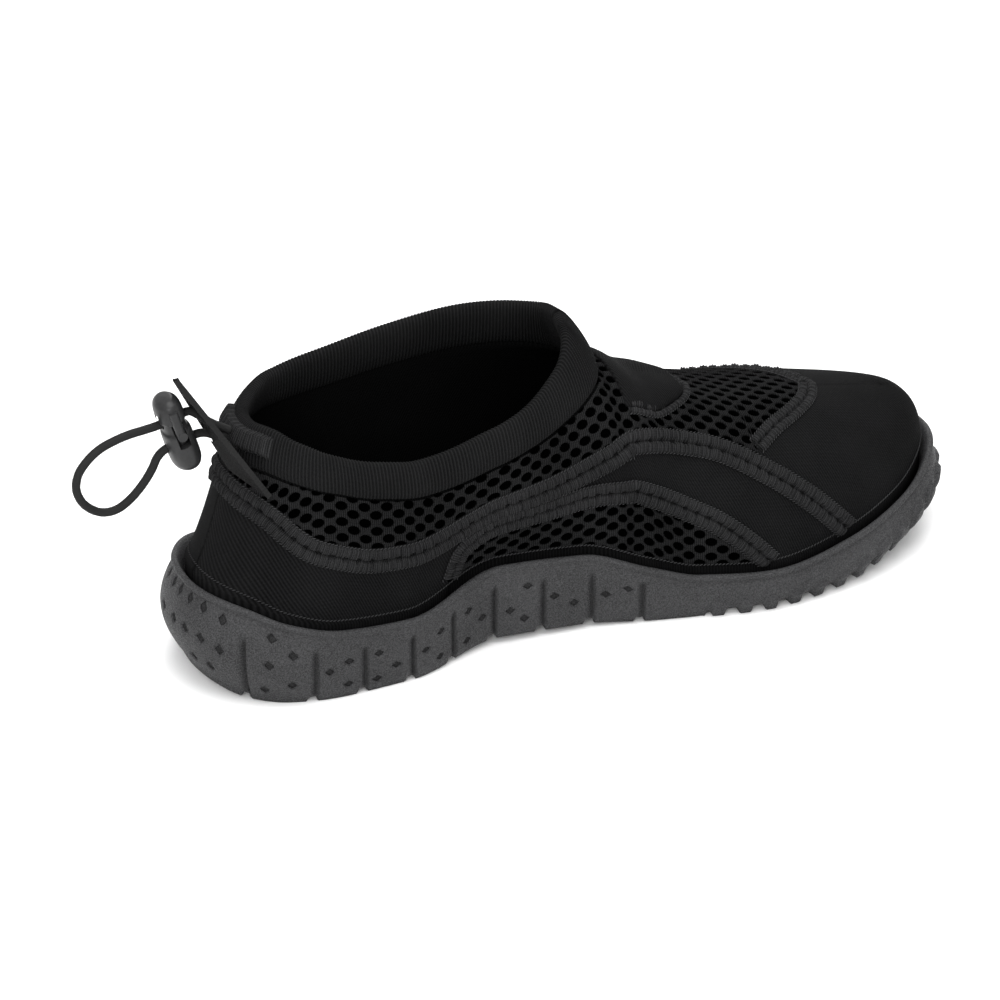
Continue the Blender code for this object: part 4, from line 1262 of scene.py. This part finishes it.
def make_sole():
    turns, way = edge_ruler()
    half = np.linspace(0, way[-1], SOLE_COLUMNS // 2 + 1)
    turn = both_sides(np.interp(half, way, turns))
    along = mirrored(half)
    ground = ground_height(turn)
    stand = tooth_stand(along)
    toe = ease((along - TOOTH_START + 0.006) / 0.004)
    cut = np.zeros(len(turn))
    for at in groove_places():
        cut = np.maximum(cut, 1 - ease((np.abs(along - at) - GROOVE_WIDTH / 2) / BEVEL_RUN))
    rise_from = TREAD_DEPTH * (toe * (1 - stand) + (1 - toe) * cut)
    tooth = toe * stand * TOOTH_REACH
    foot = WALL_ROUNDING * read(SOLE, "foot_inset", share_of(turn))
    share = share_of(turn)
    axis = middle_at(spine_share(share))
    pad = inset_plan(turn, foot + TREAD_PAD_INSET)
    rows = []
    for k in np.linspace(0, 1, BOTTOM_ROWS):
        points = place(axis + (pad - axis) * k, ground)
        points[:, 2] += tread_cut(points)
        rows.append(points)
    for k in (0.34, 0.67, 0.9, 1.0):
        edge = foot + TREAD_EDGE - tooth
        flat = inset_plan(turn, foot + TREAD_PAD_INSET + (edge - foot - TREAD_PAD_INSET) * k)
        rows.append(place(flat, ground + rise_from * k))
    low, high = ground + TREAD_DEPTH + TREAD_EDGE, rim_height(turn) - LIP_HEIGHT
    growth = ease((share - LUMPS_FROM) / LUMPS_OVER)
    tooth = tooth * (1 + LUMP_GROWTH * growth)
    tooth_top = LUMP_TOP + LUMP_TOP_GROWTH * growth
    marks = [np.tile((NO_DIAMOND, 0, 0), (len(turn), 1))] * len(rows)
    for k in np.linspace(0, 1, WALL_ROWS):
        grooves, diamonds = groove_field(along, k), diamond_field(along, k)
        pit = DIAMOND_DEPTH * ease((DIAMOND_RIM - diamonds) / DIAMOND_SOFT)
        lump = tooth * ease((tooth_top - k) / LUMP_FADE)
        inset = sole_wall_inset(turn, k) - lump + np.maximum(pit, STEP_DEPTH * grooves)
        rows.append(place(inset_plan(turn, inset), low + (high - low) * k))
        # The diamond and groove fields, which the rubber's shader turns into painted shade and a painted
        # highlight
        marks.append(np.stack([diamonds, grooves, np.zeros(len(turn))], -1))
    rim, inner = rim_height(turn), recess_inset(turn)
    lip = rim_inset(turn)
    for across, drop in LIP_PROFILE:
        rows.append(place(inset_plan(turn, lip + LIP_REACH * across), rim - LIP_HEIGHT * drop))
    rows.append(place(inset_plan(turn, inner), rim - LIP_HEIGHT * 1.5))
    rows.append(place(inset_plan(turn, inner), floor_height(turn)))
    rows.append(place(axis, floor_height(turn)))
    faces = quads(len(rows), len(turn), round_columns=True)
    marks += [marks[0]] * (len(rows) - len(marks))
    made = new_piece("sole", np.concatenate(rows), faces, rubber, np.concatenate(marks))
    weld(made)
    show(made, "rubber", "outsole")


# The upper


def heel_folds(points, normal):
    """A pucker in the neoprene at the heel, with a swelling beside it."""
    start, end = np.array(FOLD_START), np.array(FOLD_END)
    way = end - start
    k = np.clip(((points - start) @ way) / (way @ way), 0, 1)
    away = np.linalg.norm(points - start - k[..., None] * way, axis=-1)
    valley = np.exp(-((away / FOLD_WIDTH) ** 2))
    ridge = np.exp(-(((away - FOLD_SWELL_AWAY) / FOLD_SWELL_WIDTH) ** 2))
    fade = np.sin(math.pi * np.clip(k, 0.08, 0.92))
    return points + normal * ((FOLD_SWELL * ridge - FOLD_DEPTH * valley) * fade)[..., None]


def skin_turns(count):
    """Turns from heel to toe, closer together where the throat's front closes."""
    fine = np.linspace(0, math.pi, 4001)
    edge = reached(upper_at(fine, np.ones(len(fine))))
    low = reached(upper_at(fine, np.full(len(fine), 0.3)))
    even = np.linspace(0, 1, count)
    return np.interp(even, (edge / edge[-1] + low / low[-1]) / 2, fine)


def make_skin():
    """The neoprene bootie and its lining, sunk a little under the mesh panels."""
    turn = both_sides(skin_turns(SKIN_COLUMNS // 2 + 1))
    here = share_of(turn)
    rises = np.linspace(0, 1, SKIN_ROWS)
    turn_grid, rise_grid = grid_of(turn, rises[None, :])
    points = upper_at(turn_grid, rise_grid)
    normal = upper_normal(turn_grid, rise_grid)
    low = mesh_floor(turn)[:, None]
    ahead = (here < TOE_TAPE["share"][-1])[:, None]
    bed = ease((rise_grid - low) / BED_RUN) * ahead
    share, rise = tape_line(WINDOW_TAPE)
    inside = (here > share[0]) & (here < share[-1])
    top = np.where(inside, np.interp(here, share, rise), -1)[:, None]
    bed = np.maximum(bed, ease((top - rise_grid) / BED_RUN))
    points = heel_folds(points, normal) - normal * (MESH_BED * bed)[..., None]
    flat = flat_cloth(turn_grid, rise_grid, np.zeros(rise_grid.shape))
    inner_rises = np.linspace(1, 0, LINING_ROWS)
    inner_grid = grid_of(turn, inner_rises[None, :])
    inner = upper_at(*inner_grid) - upper_normal(*inner_grid) * UPPER_WALL
    crest = (here >= THROAT_FRONT - 1e-6)[:, None] & (inner_rises == 1)[None, :]
    inner[..., 1] = np.where(crest, middle(here)[:, None], inner[..., 1])
    ground = floor_height(turn) + GAP
    foot = place(upper_foot(turn), ground)
    foot_in = place(inset_plan(turn, recess_inset(turn) + FOOT_GAP + UPPER_WALL), ground)
    # A short edge that stands up inside the cuff, so no light shows between them
    tip = (points[:, -1:] + inner[:, :1]) / 2
    tip[..., 2] += SKIN_TIP * ease((THROAT_FRONT - here) / SKIN_TIP_RUN)[:, None]
    rows = np.concatenate([foot[:, None], points, tip, inner, foot_in[:, None]], axis=1)
    # Mask 1 on the inside face, which the neoprene's shader darkens as painted shade
    inner_flat = flat_cloth(*inner_grid, np.ones(inner_grid[0].shape))
    flat = np.concatenate([flat[:, :1], flat, inner_flat[:, :1], inner_flat, inner_flat[:, -1:]], axis=1)
    faces = quads(len(turn), rows.shape[1], round_rows=True, round_columns=True)
    made = new_piece("upper_skin", rows, faces, neoprene, flat)
    weld(made)
    show(made, "neoprene", "upper")


def make_mesh_cloth(name, turn, low, high, rows, sunk_top):
    """A panel of knitted mesh between two lines on the upper, its edges tucked in."""
    k = np.linspace(0, 1, rows)[None, :]
    rise = low[:, None] + (high - low)[:, None] * k
    turn_grid, rise_grid = grid_of(turn, rise)
    rise_grid = np.clip(rise_grid, 0, 1)
    points = upper_at(turn_grid, rise_grid)
    normal = upper_normal(turn_grid, rise_grid)
    size = np.linalg.norm(points[:, -1] - points[:, 0], axis=-1)[:, None] + 1e-6
    edge = k * size
    tuck = 1 - ease(edge / TUCK)
    if sunk_top:
        tuck = np.maximum(tuck, 1 - ease((size - edge) / TUCK))
    points = points + normal * (MESH_STAND - (MESH_STAND + MESH_BED + GAP) * tuck)[..., None]
    flat = flat_cloth(turn_grid, rise_grid, 1 - tuck)
    made = new_piece(name, points, quads(len(turn), rows), mesh_knit, flat)
    weld(made, closed=False)
    face_outward(made)
    punch_holes(made, mesh_knit)
    show(made, "neoprene", "upper")


def face_outward(made):
    """Turns an open sheet's faces away from a point inside the shoe."""
    mesh = made.data
    mesh.update()
    face = mesh.polygons[len(mesh.polygons) // 2]
    at = np.array(face.center) - SHIFT
    outward_way = at - np.array([at[0], *INSIDE])
    if np.dot(np.array(face.normal), outward_way) < 0:
        mesh.flip_normals()


def make_mesh_panels():
    last = turn_of(TOE_TAPE["share"][-1])
    half = skin_turns(6000)
    half = half[half <= last]
    way = reached(upper_at(half, np.full(len(half), 0.85)))
    half = np.interp(np.linspace(0, way[-1], VAMP_COLUMNS // 2 + 1), way, half)
    turn = np.concatenate([-half[:0:-1], half])
    low = np.minimum(mesh_floor(turn), 1.0)
    make_mesh_cloth("vamp_mesh", turn, low, np.ones(len(turn)), VAMP_ROWS, False)
    share, rise = tape_line(WINDOW_TAPE)
    wide = np.interp(np.linspace(0, 1, WINDOW_COLUMNS), np.linspace(0, 1, len(share)), share)
    top = np.interp(wide, share, rise)
    for name, side in (("window_mesh_medial", -1), ("window_mesh_lateral", 1)):
        make_mesh_cloth(name, side * turn_of(wide), top * 0, top, WINDOW_ROWS, True)


def throat_loop(count):
    """Turns once round the throat, evenly spaced along its edge, from its front."""
    last = turn_of(THROAT_FRONT)
    half = last * (1 - np.linspace(1, 0, 4000) ** 3)
    turns = np.concatenate([-half[::-1], half[1:]])
    way = reached(upper_at(turns, np.ones(len(turns))))
    even = np.linspace(0, way[-1], count, endpoint=False)
    return np.interp(even, way, turns), even


def make_cuff():
    turn, along = throat_loop(CUFF_COLUMNS)
    foot, up, across = cuff_frames(turn)
    angles = np.linspace(0, 2 * math.pi, CUFF_ROWS, endpoint=False)
    rows = np.stack([cuff_row(foot, up, across, angle) for angle in angles])
    shape = rows.shape[:2]
    mask = ease(np.sin(angles / 2) / CUFF_RIB_FADE)
    flat = on_cloth(shape, along[None, :], (angles * CUFF_ROUND)[:, None], mask[:, None])
    made = new_piece("cuff", rows, quads(*shape, round_rows=True, round_columns=True), cuff_knit, flat)
    weld(made)
    press_ribs(made, CUFF_RIB_PITCH, CUFF_RIB_DEPTH, cuff_knit)
    show(made, "cuff_knit", "collar")


def make_insole():
    turn = both_sides(np.linspace(0, math.pi, 121))
    axis = middle_at(spine_share(share_of(turn)))
    edge = inset_plan(turn, recess_inset(turn) + UPPER_WALL + 2 * FOOT_GAP)
    low = floor_height(turn) + GAP
    rows = [place(axis, low), place(edge, low)]
    for k in (1.0, 0.97, 0.9, 0.7, 0.45, 0.2, 0.0):
        crown = INSOLE_THICKNESS * (1 - 0.4 * k**6)
        rows.append(place(axis + (edge - axis) * k, low + crown))
    points = np.concatenate(rows)
    faces = quads(len(rows), len(turn), round_columns=True)
    made = new_piece("insole_sheet", points, faces, lining, points)
    weld(made)
    show(made, "insole_foam", "insole")


# Tapes and their stitches


def tape_path(turn, rise, step):
    """A tape's path with an even step, with the way reached along it."""
    fine = np.linspace(0, len(turn) - 1, 40 * len(turn))
    for over in np.flatnonzero(np.abs(np.diff(turn)) > 1):
        fine = fine[(fine <= over) | (fine >= over + 1)]
    turn = np.interp(fine, np.arange(len(turn)), turn)
    rise = np.interp(fine, np.arange(len(rise)), rise)
    way = reached(upper_at(turn, rise))
    even = np.linspace(0, way[-1], math.ceil(way[-1] / step) + 1)
    return np.interp(even, way, turn), np.interp(even, way, rise), even


def beside(turn, rise, across, distance):
    """The turn and rise that lie a distance away on the surface, in the direction across."""
    tiny = 1e-4
    for _ in range(2):
        rise = np.clip(rise, 10 * tiny, 1)
        here = upper_at(turn, rise)
        by_turn = (upper_at(turn + tiny, rise) - here) / tiny
        by_rise = (here - upper_at(turn, rise - tiny)) / tiny
        a = np.sum(by_turn * by_turn, axis=1)
        b = np.sum(by_turn * by_rise, axis=1)
        c = np.sum(by_rise * by_rise, axis=1)
        wanted = across * distance / 2
        u = np.sum(by_turn * wanted, axis=1)
        v = np.sum(by_rise * wanted, axis=1)
        scale = a * c - b * b
        turn = turn + (c * u - b * v) / scale
        rise = rise + (a * v - b * u) / scale
    return turn, np.clip(rise, lowest_rise(turn), 1)


def tape_profile(across, height):
    """How high a tape stands at a share (-1 to 1) across it: two padded rows and a seam."""
    rows = np.abs(np.abs(across) - 0.5) / 0.5
    padded = np.sqrt(np.clip(1 - rows**2.2, 0, 1))
    edge = ease((1 - np.abs(across)) / 0.12)
    return height * (0.35 + 0.65 * padded) * edge


def lay_tape(name, turn, rise, width, height, nodes, holes=0.0):
    """A bound seam: two ribbed rows with needle holes between, and threads on both edges."""
    turn, rise, way = tape_path(turn, rise, TAPE_COLUMN)
    here = upper_at(turn, rise)
    along = unit(np.gradient(here, axis=0))
    across = unit(np.cross(upper_normal(turn, rise), along))
    offsets = np.array(TAPE_ACROSS)
    rows, edges = [], []
    ends = ease(way / TAPE_ENDS) * ease((way[-1] - way) / TAPE_ENDS)
    wave = way * 2 * math.pi
    for k in offsets:
        edge_turn, edge_rise = beside(turn, rise, across, k * width / 2)
        surface = upper_at(edge_turn, edge_rise)
        normal = upper_normal(edge_turn, edge_rise)
        uneven = 0.16 * np.sin(wave / PUFF_SHORT + k) + 0.12 * np.sin(wave / PUFF_LONG - 2 * k)
        stand = tape_profile(k, height) * (1 + uneven)
        if holes and abs(k) < SEAM_ACROSS:
            near = np.abs((way / holes) % 1 - 0.5) * holes
            stand = stand - height * 0.5 * (1 - ease((near - NEEDLE_HALF) / NEEDLE_SLOPE))
        rows.append(surface + normal * (stand * ends - TAPE_SINK)[:, None])
        if abs(k) == THREAD_ACROSS:
            edges.append((surface, normal, tape_profile(THREAD_ACROSS, height)))
    for k in TAPE_BENEATH:
        edge_turn, edge_rise = beside(turn, rise, across, k * width / 2)
        rows.append(upper_at(edge_turn, edge_rise) - upper_normal(edge_turn, edge_rise) * TAPE_BED)
    rows = np.stack(rows)
    shape = rows.shape[:2]
    # The height across the tape as its mask: it scales the ribs, and the binding's shader paints shade where
    # it is low
    mask = np.concatenate([tape_profile(offsets, 1.0), [0, 0]])
    down = np.concatenate([offsets, [0, 0]]) * width / 2
    flat = on_cloth(shape, way[None, :], down[:, None], mask[:, None])
    made = new_piece(name, rows, quads(*shape, round_rows=True), binding, flat)
    weld(made)
    press_ribs(made, TAPE_RIB_PITCH, TAPE_RIB_DEPTH, binding)
    show(made, "seam_tape", *nodes)
    return edges


def stitch_rows(name, paths, pitch, length, thickness, slant, material):
    """Threads along several paths, each given as points and the way they face."""
    points, facing, edges, count = [], [], [], 0
    for surface, normal, stand in paths:
        points.append(surface + normal * stand)
        facing.append(normal)
        edges.append(np.stack([np.arange(len(surface) - 1), np.arange(1, len(surface))], -1) + count)
        count += len(surface)
    made = new_piece(name, np.concatenate(points), np.concatenate(edges), material)
    layer = made.data.attributes.new("facing", "FLOAT_VECTOR", "POINT")
    layer.data.foreach_set("vector", np.concatenate(facing).astype(np.float32).ravel())
    sew_stitches(made, pitch, length, thickness, slant, material)
    show(made, "seam_tape")


def thinned(path, step=8):
    surface, normal, stand = path
    return surface[::step], normal[::step], stand


def make_tapes():
    share, rise = tape_line(SIDE_TAPE)
    turn = turn_of(share)
    turn, rise = np.concatenate([-turn[:0:-1], turn]), np.concatenate([rise[:0:-1], rise])
    side_size = (SIDE_TAPE_WIDTH, SIDE_TAPE_HEIGHT)
    edges = lay_tape("side_binding", turn, rise, *side_size, ("side_tape",), NEEDLE_PITCH)
    share, rise = tape_line(WINDOW_TAPE)
    size = (WINDOW_TAPE_WIDTH, WINDOW_TAPE_HEIGHT)
    for name, side in (("medial", -1), ("lateral", 1)):
        turn = side * turn_of(share)
        nodes = (f"window_tape_{name}",)
        edges += lay_tape(f"window_binding_{name}", turn, rise, *size, nodes, NEEDLE_PITCH)
    for name, rows, *size, holes in (
        ("toe", TOE_TAPE, TOE_TAPE_WIDTH, TOE_TAPE_HEIGHT, TOE_NEEDLE_PITCH),
        ("tongue", TONGUE_TAPE, TONGUE_TAPE_WIDTH, TONGUE_TAPE_HEIGHT, 0.0),
    ):
        turn, rise = crossing(rows, CROSSING_STEP)
        edges += lay_tape(f"{name}_binding", turn, rise, *size, (f"{name}_tape",), holes)
    paths = [thinned(path) for path in edges]
    turn = both_sides(np.linspace(0, math.pi, 400))
    rise = rise_at(turn, rim_height(turn) + RIM_THREAD)
    paths.append((upper_at(turn, rise), upper_normal(turn, rise), THREAD_THICKNESS / 2))
    stitch_rows("edge_threads", paths, THREAD_STEP, THREAD_LENGTH, THREAD_THICKNESS, 0.5, thread)


def make_tongue():
    """The puffed pad in front of the throat."""
    border = TONGUE_TAPE_WIDTH / 2
    first = TONGUE_TAPE["share"][0] - PAD_AHEAD
    last = TONGUE_TAPE["share"][-1] - border * 0.6 / SHOE_LENGTH
    share = np.linspace(first, last, PAD_ROWS)
    edge = read(TONGUE_TAPE, "rise", np.clip(share, TONGUE_TAPE["share"][0], 1))
    turn = turn_of(share)
    k = np.linspace(-1, 1, PAD_COLUMNS)
    rise = 1 - (1 - edge[:, None]) * np.abs(k)[None, :]
    side = np.where(k > 0, 1, -1)[None, :]
    turn_grid = np.broadcast_to(turn[:, None] * side, rise.shape).copy()
    surface = upper_at(turn_grid, rise)
    normal = upper_normal(turn_grid, rise)
    normal[:, PAD_COLUMNS // 2, 1] = 0
    normal = unit(normal)
    back = np.clip((share - first) / PAD_BACK_END, 0, 1)
    front = np.clip((last - share) / PAD_FRONT_END, 0, 1)
    ends = back**0.5 * front**0.5
    puff = np.sqrt(np.clip(1 - np.abs(k) ** 4, 0, 1))[None, :] * (0.35 + 0.65 * ends[:, None])
    hump = ease((share - PAD_HUMP_START) / PAD_HUMP_RUN)[:, None] * ends[:, None]
    swell = TONGUE_PAD_THICKNESS * (0.8 + hump) * puff
    top = surface + normal * (TAPE_GAP * 0.5 + swell)[..., None]
    low = surface - normal * PAD_BED
    rows = np.concatenate([top, low[:, ::-1]], axis=1)
    flat = flat_cloth(turn_grid, rise, np.zeros(rise.shape))
    flat = np.concatenate([flat, flat[:, ::-1]], axis=1)
    made = new_piece("tongue_patch", rows, quads(*rows.shape[:2], round_columns=True), neoprene, flat)
    weld(made)
    show(made, "neoprene", "tongue_pad")


# Heel tab, tunnel, lock and cord


def cylinder_between(name, start, end, radius):
    start, end = Vector(start), Vector(end)
    mesh = bpy.data.meshes.new(name)
    work = bmesh.new()
    bmesh.ops.create_cone(
        work, cap_ends=True, segments=32, radius1=radius, radius2=radius, depth=(end - start).length
    )
    turn = (end - start).to_track_quat("Z", "Y").to_matrix().to_4x4()
    work.transform(Matrix.Translation((start + end) / 2) @ turn)
    work.to_mesh(mesh)
    work.free()
    return plain_object(name, mesh)


def box_between(name, low, high):
    mesh = bpy.data.meshes.new(name)
    work = bmesh.new()
    bmesh.ops.create_cube(work, size=1)
    low, high = Vector(low), Vector(high)
    for vertex in work.verts:
        vertex.co = Vector(a + (b - a) * (k + 0.5) for a, b, k in zip(low, high, vertex.co))
    work.to_mesh(mesh)
    work.free()
    return plain_object(name, mesh)


def carve(made, tools, join=()):
    """Joins and cuts solids, keeps the result as the object's plain mesh, and removes the tools."""
    for operation, others in (("UNION", join), ("DIFFERENCE", tools)):
        for other in others:
            change = made.modifiers.new(other.name, "BOOLEAN")
            change.operation = operation
            change.solver = "EXACT"
            change.object = other
    settle(made)
    for other in list(tools) + list(join):
        bpy.data.objects.remove(other)


def cord_hole(first):
    start, end = (Vector(CORD_ROUTE[i]) + Vector(SHIFT) for i in (first, first + 1))
    radius = CORD_DIAMETER / 2 + 2 * CORD_CLEARANCE
    return cylinder_between("cord_hole", start * 2 - end, end * 2 - start, radius)


def make_tab():
    """A strip of webbing bent round the heel, cut off ragged at the top."""
    columns, rows = TAB_COLUMNS, TAB_ROWS
    foot_turn = np.linspace(*TAB_TURNS, columns)
    height = COLLAR_HEIGHT * read(SIDE_TAPE, "height", share_of(foot_turn))
    rise = rise_at(foot_turn, height + SIDE_TAPE_WIDTH / 2 + TAB_LIFT)
    foot = upper_at(foot_turn, rise) + upper_normal(foot_turn, rise) * TAB_STANDOFF
    top = np.linspace(TAB_TOP_MEDIAL, TAB_TOP_LATERAL, columns)
    k = np.linspace(0, 1, rows)[:, None, None]
    surface = foot * (1 - k) + top * k
    surface[-1, :, 2] += np.random.default_rng(TAB_SEED).normal(0, TAB_FRAY, columns)
    normal = unit(np.cross(np.gradient(surface, axis=0), np.gradient(surface, axis=1)))
    half = normal * TAB_THICKNESS / 2
    points = np.concatenate([surface + half, (surface - half)[:, ::-1]], axis=1)
    across = np.concatenate([np.arange(columns), np.arange(columns)[::-1]]) * 0.0004
    shape = points.shape[:2]
    flat = on_cloth(shape, across[None, :], np.arange(rows)[:, None] * 0.00055, 0.0)
    made = new_piece("tab_webbing", points, quads(*shape, round_columns=True), woven, flat)
    weld(made)
    carve(made, [cord_hole(2), cord_hole(-3)])
    made.data.shade_smooth()
    made.data.set_sharp_from_angle(angle=math.radians(40))
    show(made, "webbing", "heel_tab")


def make_tunnel():
    """The ribbed band at the cuff's back where the cord comes out."""
    turn, along = throat_loop(CUFF_COLUMNS)
    pick = (turn > CHANNEL_TURNS[0]) & (turn < CHANNEL_TURNS[1])
    foot, up, across = (values[pick] for values in cuff_frames(turn))
    along = along[pick]
    ends = ease((along - along[0]) / CHANNEL_ENDS) * ease((along[-1] - along) / CHANNEL_ENDS)
    rows = []
    angles = np.linspace(*TUNNEL_ANGLES, CHANNEL_ROWS)
    for i, angle in enumerate(angles):
        edge = ease(i / 2.0) * ease((len(angles) - 1 - i) / 2.0)
        stand = CHANNEL_GAP + CHANNEL_STAND * edge * ends
        rows.append(cuff_row(foot, up, across, angle) + across * stand[:, None])
    for angle in angles[::-3]:
        rows.append(cuff_row(foot, up, across, angle) - across * CHANNEL_BED)
    rows = np.stack(rows)
    shape = rows.shape[:2]
    mask = np.concatenate([np.ones(CHANNEL_ROWS), np.zeros(shape[0] - CHANNEL_ROWS)])
    down = np.arange(shape[0]) * 0.0006
    flat = on_cloth(shape, along[None, :], down[:, None], mask[:, None])
    made = new_piece("cord_channel", rows, quads(*shape, round_rows=True), binding, flat)
    weld(made)
    press_ribs(made, CHANNEL_RIB_PITCH, CHANNEL_RIB_DEPTH, binding)
    show(made, "webbing", "cord_tunnel")


def lathe(name, rows, sides=72):
    """An oval solid turned from rows of a radius, as a share of the lock's, and a height."""
    angles = np.linspace(0, 2 * math.pi, sides, endpoint=False)
    deep, wide = LOCK_DEPTH / 2 * np.cos(angles), LOCK_WIDTH / 2 * np.sin(angles)
    points = [
        np.stack([deep * radius, wide * radius, np.full(sides, height)], -1) for radius, height in rows
    ]
    faces = quads(len(rows), sides, round_columns=True)
    made = new_piece(name, np.stack(points) - SHIFT, faces, moulding)
    weld(made)
    return made


def rounded(rows, steps=6):
    """A turned profile with more rows, eased through its corners."""
    rows = np.array(rows)
    k = np.linspace(0, len(rows) - 1, steps * (len(rows) - 1) + 1)
    dense = np.stack([np.interp(k, np.arange(len(rows)), rows[:, i]) for i in range(2)], -1)
    for _ in range(3):
        dense[1:-1] = (dense[:-2] + dense[1:-1] * 2 + dense[2:]) / 4
    return dense


def lock_place():
    centre = Vector(LOCK_CENTRE) + Vector(SHIFT)
    return Matrix.Translation(centre) @ Matrix.Rotation(-LOCK_TILT, 4, "Y")


def make_lock():
    """The barrel and the sprung plunger, which share one set of holes for the cord."""
    hole = CORD_DIAMETER / 2 + CORD_CLEARANCE
    heights = (STRAND_OFFSET, -STRAND_OFFSET)
    barrel = lathe("lock_barrel", rounded(LOCK_BARREL))
    foot = BUTTON_FOOT - BUTTON_TRAVEL - BUTTON_CLEARANCE
    bore = lathe("bore", [(0, foot), (BORE, foot), (BORE, HEAD_FOOT), (0, HEAD_FOOT)])
    room = PEG_RADIUS + BUTTON_CLEARANCE
    slot_low = (-room, -LOCK_WIDTH, PEG_HEIGHT - BUTTON_TRAVEL - room)
    slot = box_between("peg_slot", slot_low, (room, -STEM * LOCK_WIDTH / 3, LOCK_MOUTH + room))
    holes = [cylinder_between("strand", (-LOCK_DEPTH, 0, z), (LOCK_DEPTH, 0, z), hole) for z in heights]
    carve(barrel, [bore, slot] + holes)
    button = lathe("lock_plunger", np.concatenate([LOCK_BUTTON[:3], rounded(LOCK_BUTTON[3:])]))
    peg_start = (0, -STEM * LOCK_WIDTH / 3, PEG_HEIGHT)
    peg = cylinder_between("peg", peg_start, (0, -LOCK_WIDTH / 2 - GAP, PEG_HEIGHT), PEG_RADIUS)
    side = -LOCK_WIDTH / 2 + RIDGE_RADIUS - GAP
    ridge = cylinder_between("ridge", (0, side, PEG_HEIGHT), (0, side, HEAD_FOOT + GAP), RIDGE_RADIUS)
    windows = [
        box_between("window", (-LOCK_DEPTH, -hole, z - hole), (LOCK_DEPTH, hole, z + hole + BUTTON_TRAVEL))
        for z in heights
    ]
    carve(button, windows, [peg, ridge])
    for made, node, body in (
        (barrel, "cord_lock_body", "shoe"),
        (button, "cord_lock_button", "lock_button"),
    ):
        made.data.transform(lock_place())
        made.data.shade_smooth()
        made.data.set_sharp_from_angle(angle=math.radians(45))
        show(made, "lock_plastic", node, body=body)
    return barrel, button


def make_cord():
    """The braided drawcord, as a tube round its smooth route."""
    path = smooth_route(CORD_ROUTE, CORD_STEP)
    along = unit(np.gradient(path, axis=0))
    side = np.broadcast_to(np.array([0, 1.0, 0]), path.shape)
    up = unit(np.cross(along, side))
    winds = 2 * math.pi * reached(path)[:, None] / BRAID_PITCH
    angles = np.linspace(0, 2 * math.pi, CORD_SIDES, endpoint=False)
    strands = BRAID_STRANDS * angles[None, :]
    braid = np.maximum(np.cos(strands - winds), np.cos(strands + winds))
    radius = CORD_DIAMETER / 2 + BRAID_DEPTH * braid
    ring = side[:, None] * np.cos(angles)[None, :, None] + up[:, None] * np.sin(angles)[None, :, None]
    points = path[:, None] + ring * radius[..., None]
    faces = quads(len(path), CORD_SIDES, round_columns=True)
    made = new_piece("elastic_cord", points, faces, braided)
    weld(made)
    show(made, "webbing", "drawcord")


# Camera, floor and light


def set_camera():
    back = Vector(
        (
            math.sin(CAMERA_AZIMUTH) * math.cos(CAMERA_ELEVATION),
            -math.cos(CAMERA_AZIMUTH) * math.cos(CAMERA_ELEVATION),
            math.sin(CAMERA_ELEVATION),
        )
    )
    lens = bpy.data.cameras.new("camera")
    lens.lens = CAMERA_LENS
    lens.sensor_width = 36
    made = plain_object("camera", lens)
    made.location = Vector(CAMERA_TARGET) + Vector(SHIFT) + back * CAMERA_DISTANCE
    made.rotation_euler = (-back).to_track_quat("-Z", "Y").to_euler()
    bpy.context.scene.camera = made


def soft_light(name, place_at, look_at, size, power):
    lamp = bpy.data.lights.new(name, "AREA")
    lamp.shape = "SQUARE"
    lamp.size = size
    lamp.energy = power
    made = plain_object(name, lamp)
    made.location = place_at
    made.rotation_euler = (Vector(place_at) - Vector(look_at)).to_track_quat("Z", "Y").to_euler()


def set_stage():
    floor_material, _, shader = shader_tree("pale_floor")
    shader.inputs["Base Color"].default_value = (0.93, 0.93, 0.93, 1)
    shader.inputs["Roughness"].default_value = 0.9
    square = ((-1, -1), (1, -1), (1, 1), (-1, 1))
    corners = np.array([(x * FLOOR_HALF, y * FLOOR_HALF, -FLOOR_DROP) for x, y in square])
    floor = new_piece("floor", corners - SHIFT, np.array([[0, 1, 2, 3]]), floor_material)
    world = bpy.data.worlds.new("studio")
    world.use_nodes = True
    sky = world.node_tree.nodes["Background"]
    sky.inputs["Color"].default_value = (1, 1, 1, 1)
    sky.inputs["Strength"].default_value = 0.85
    bpy.context.scene.world = world
    for lamp in LAMPS:
        soft_light(*lamp)
    bpy.context.scene.view_settings.view_transform = "Standard"


rubber = rubber_finish()
neoprene = cloth_finish(
    "neoprene_face", (0.0060, 0.0060, 0.0062), 0.00105, 0.00013, gloss=0.03, painted_shade_inside=True, slant=0.5
)
# The insole's near-black colour is partly its own and partly the shade inside the shoe, painted in
lining = cloth_finish("lining", (0.0010, 0.0010, 0.0010), 0.0011, 0.00004, gloss=0.0)
mesh_knit = cloth_finish("mesh_knit", (0.0125, 0.0125, 0.0128), 0.0007, 0.00025, gloss=0.0, hole=True)
cuff_knit = cloth_finish("cuff_face", (0.0078, 0.0078, 0.008), 0.0012, 0.0002, cross=0.03)
binding = cloth_finish("binding", (0.0175, 0.0175, 0.018), 0.0006, 0.00016, seam=True)
woven = cloth_finish("woven", (0.011, 0.011, 0.011), 0.0007, 0.00014)
thread = cloth_finish("thread", (0.022, 0.022, 0.0226), 0.0004, 0.00003)
braided = cloth_finish("braid", (0.011, 0.011, 0.011), 0.0004, 0.00002, roughness=0.5)
moulding = plastic_finish()

set_camera()
set_stage()
lock_pieces = make_lock()
make_cord()
make_sole()
make_skin()
make_mesh_panels()
make_cuff()
make_insole()
make_tapes()
make_tongue()
make_tab()
make_tunnel()
